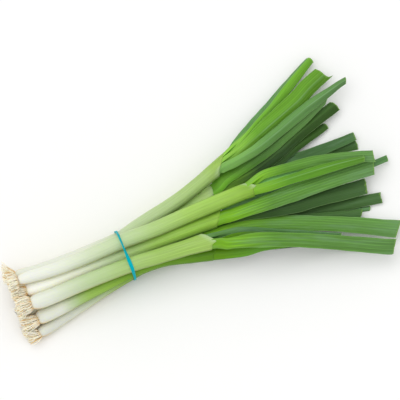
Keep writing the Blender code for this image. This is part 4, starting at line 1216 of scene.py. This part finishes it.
def band_material():
    """Teal rubber, a little dusty, with fine lengthwise ribs."""
    nodes = Nodes("band")
    wide, along, _ = nodes.stored("place")
    dust = nodes.streaks(wide, along, 0.0, pitch=0.7, stretch=6.0, detail=4.0)
    colour = nodes.brighten(linear(BAND_TEAL), nodes.remap(dust, 0.25, 0.75, 0.88, 1.06))
    nodes.bump(dust, 0.00005)
    return nodes.finish(colour, nodes.remap(dust, 0.3, 0.7, 0.38, 0.55), Specular_IOR_Level=0.06)


# Surroundings
FLOOR_SIZE = 40.0
CAMERA_TURN = 22.6     # how far the bunch's length is turned in the picture, in degrees
CAMERA_RISE = 80.0     # the camera's height over the horizon, in degrees
CAMERA_DISTANCE = 6.0
CAMERA_FIELD = 0.400   # width of the picture at the bunch
CAMERA_AIM = (90.4, 23.4, 20.0)    # the layout's point in the middle of the picture
SENSOR = 36.0
VIEW_END = 100         # nothing past this distance is seen
SUN_STRENGTH = 1.15
SUN_SOFTNESS = 60.0    # how wide the light is, in degrees
SUN_FROM = (-0.35, 0.45, 1.2)    # towards the light: right, up and out of the picture
FILL_STRENGTH = 0.74   # of the even white light from all round


def picture_axes():
    """The picture's right, its up and the way to the camera."""
    turn = math.radians(CAMERA_TURN)
    rise = math.radians(CAMERA_RISE)
    right = Vector((math.cos(turn), -math.sin(turn), 0))
    out = Vector((-math.sin(turn) * math.cos(rise), -math.cos(turn) * math.cos(rise), math.sin(rise)))
    return right, out.cross(right), out


def add_camera():
    """The camera that the picture is taken with."""
    right, up, out = picture_axes()
    data = bpy.data.cameras.new("camera")
    data.sensor_width = SENSOR
    data.lens = SENSOR / 2 / (CAMERA_FIELD / 2 / CAMERA_DISTANCE)
    data.clip_end = VIEW_END
    camera = add_object("camera", data)
    aim = Vector((CAMERA_AIM[0] + ORIGIN[0], CAMERA_AIM[1] + ORIGIN[1], CAMERA_AIM[2])) * METRES
    turn = Matrix((right, up, out)).transposed().to_4x4()
    camera.matrix_world = Matrix.Translation(aim + out * CAMERA_DISTANCE) @ turn
    bpy.context.scene.camera = camera


def add_light():
    """A soft light from the upper left, and white light from all round."""
    right, up, out = picture_axes()
    towards = right * SUN_FROM[0] + up * SUN_FROM[1] + out * SUN_FROM[2]
    data = bpy.data.lights.new("key", "SUN")
    data.energy = SUN_STRENGTH
    data.angle = math.radians(SUN_SOFTNESS)
    add_object("key", data).rotation_euler = towards.to_track_quat("Z", "Y").to_euler()
    world = bpy.data.worlds.new("studio")
    world.use_nodes = True
    background = world.node_tree.nodes["Background"]
    background.inputs["Color"].default_value = (1, 1, 1, 1)
    background.inputs["Strength"].default_value = FILL_STRENGTH
    bpy.context.scene.world = world


def add_floor():
    """The white surface that the bunch lies on, which is no part of it."""
    half = FLOOR_SIZE / 2
    corners = [(-half, -half, 0), (half, -half, 0), (half, half, 0), (-half, half, 0)]
    mesh = bpy.data.meshes.new("floor")
    mesh.from_pydata(corners, [], [(0, 1, 2, 3)])
    mesh.materials.append(Nodes("floor").finish(linear(FLOOR_WHITE), 0.8, Specular_IOR_Level=0.1))
    add_object("floor", mesh)


def main():
    """Dress the whole bunch and put it in its surroundings."""
    roots = root_material()
    stems = []
    for number, plant in enumerate(PLANTS, start=1):
        stem = read_stem(plant)
        stems.append(stem)
        add_stem(plant, stem, number)
        for index, leaf in enumerate(plant.leaves):
            leaf.seed = number + index / 10
            add_leaf(plant, stem, index)
        add_roots(plant, stem, number, roots)
    add_band(stems)
    add_floor()
    add_light()
    add_camera()
    bpy.context.scene.view_settings.view_transform = "Standard"


ORIGIN = find_origin()
main()
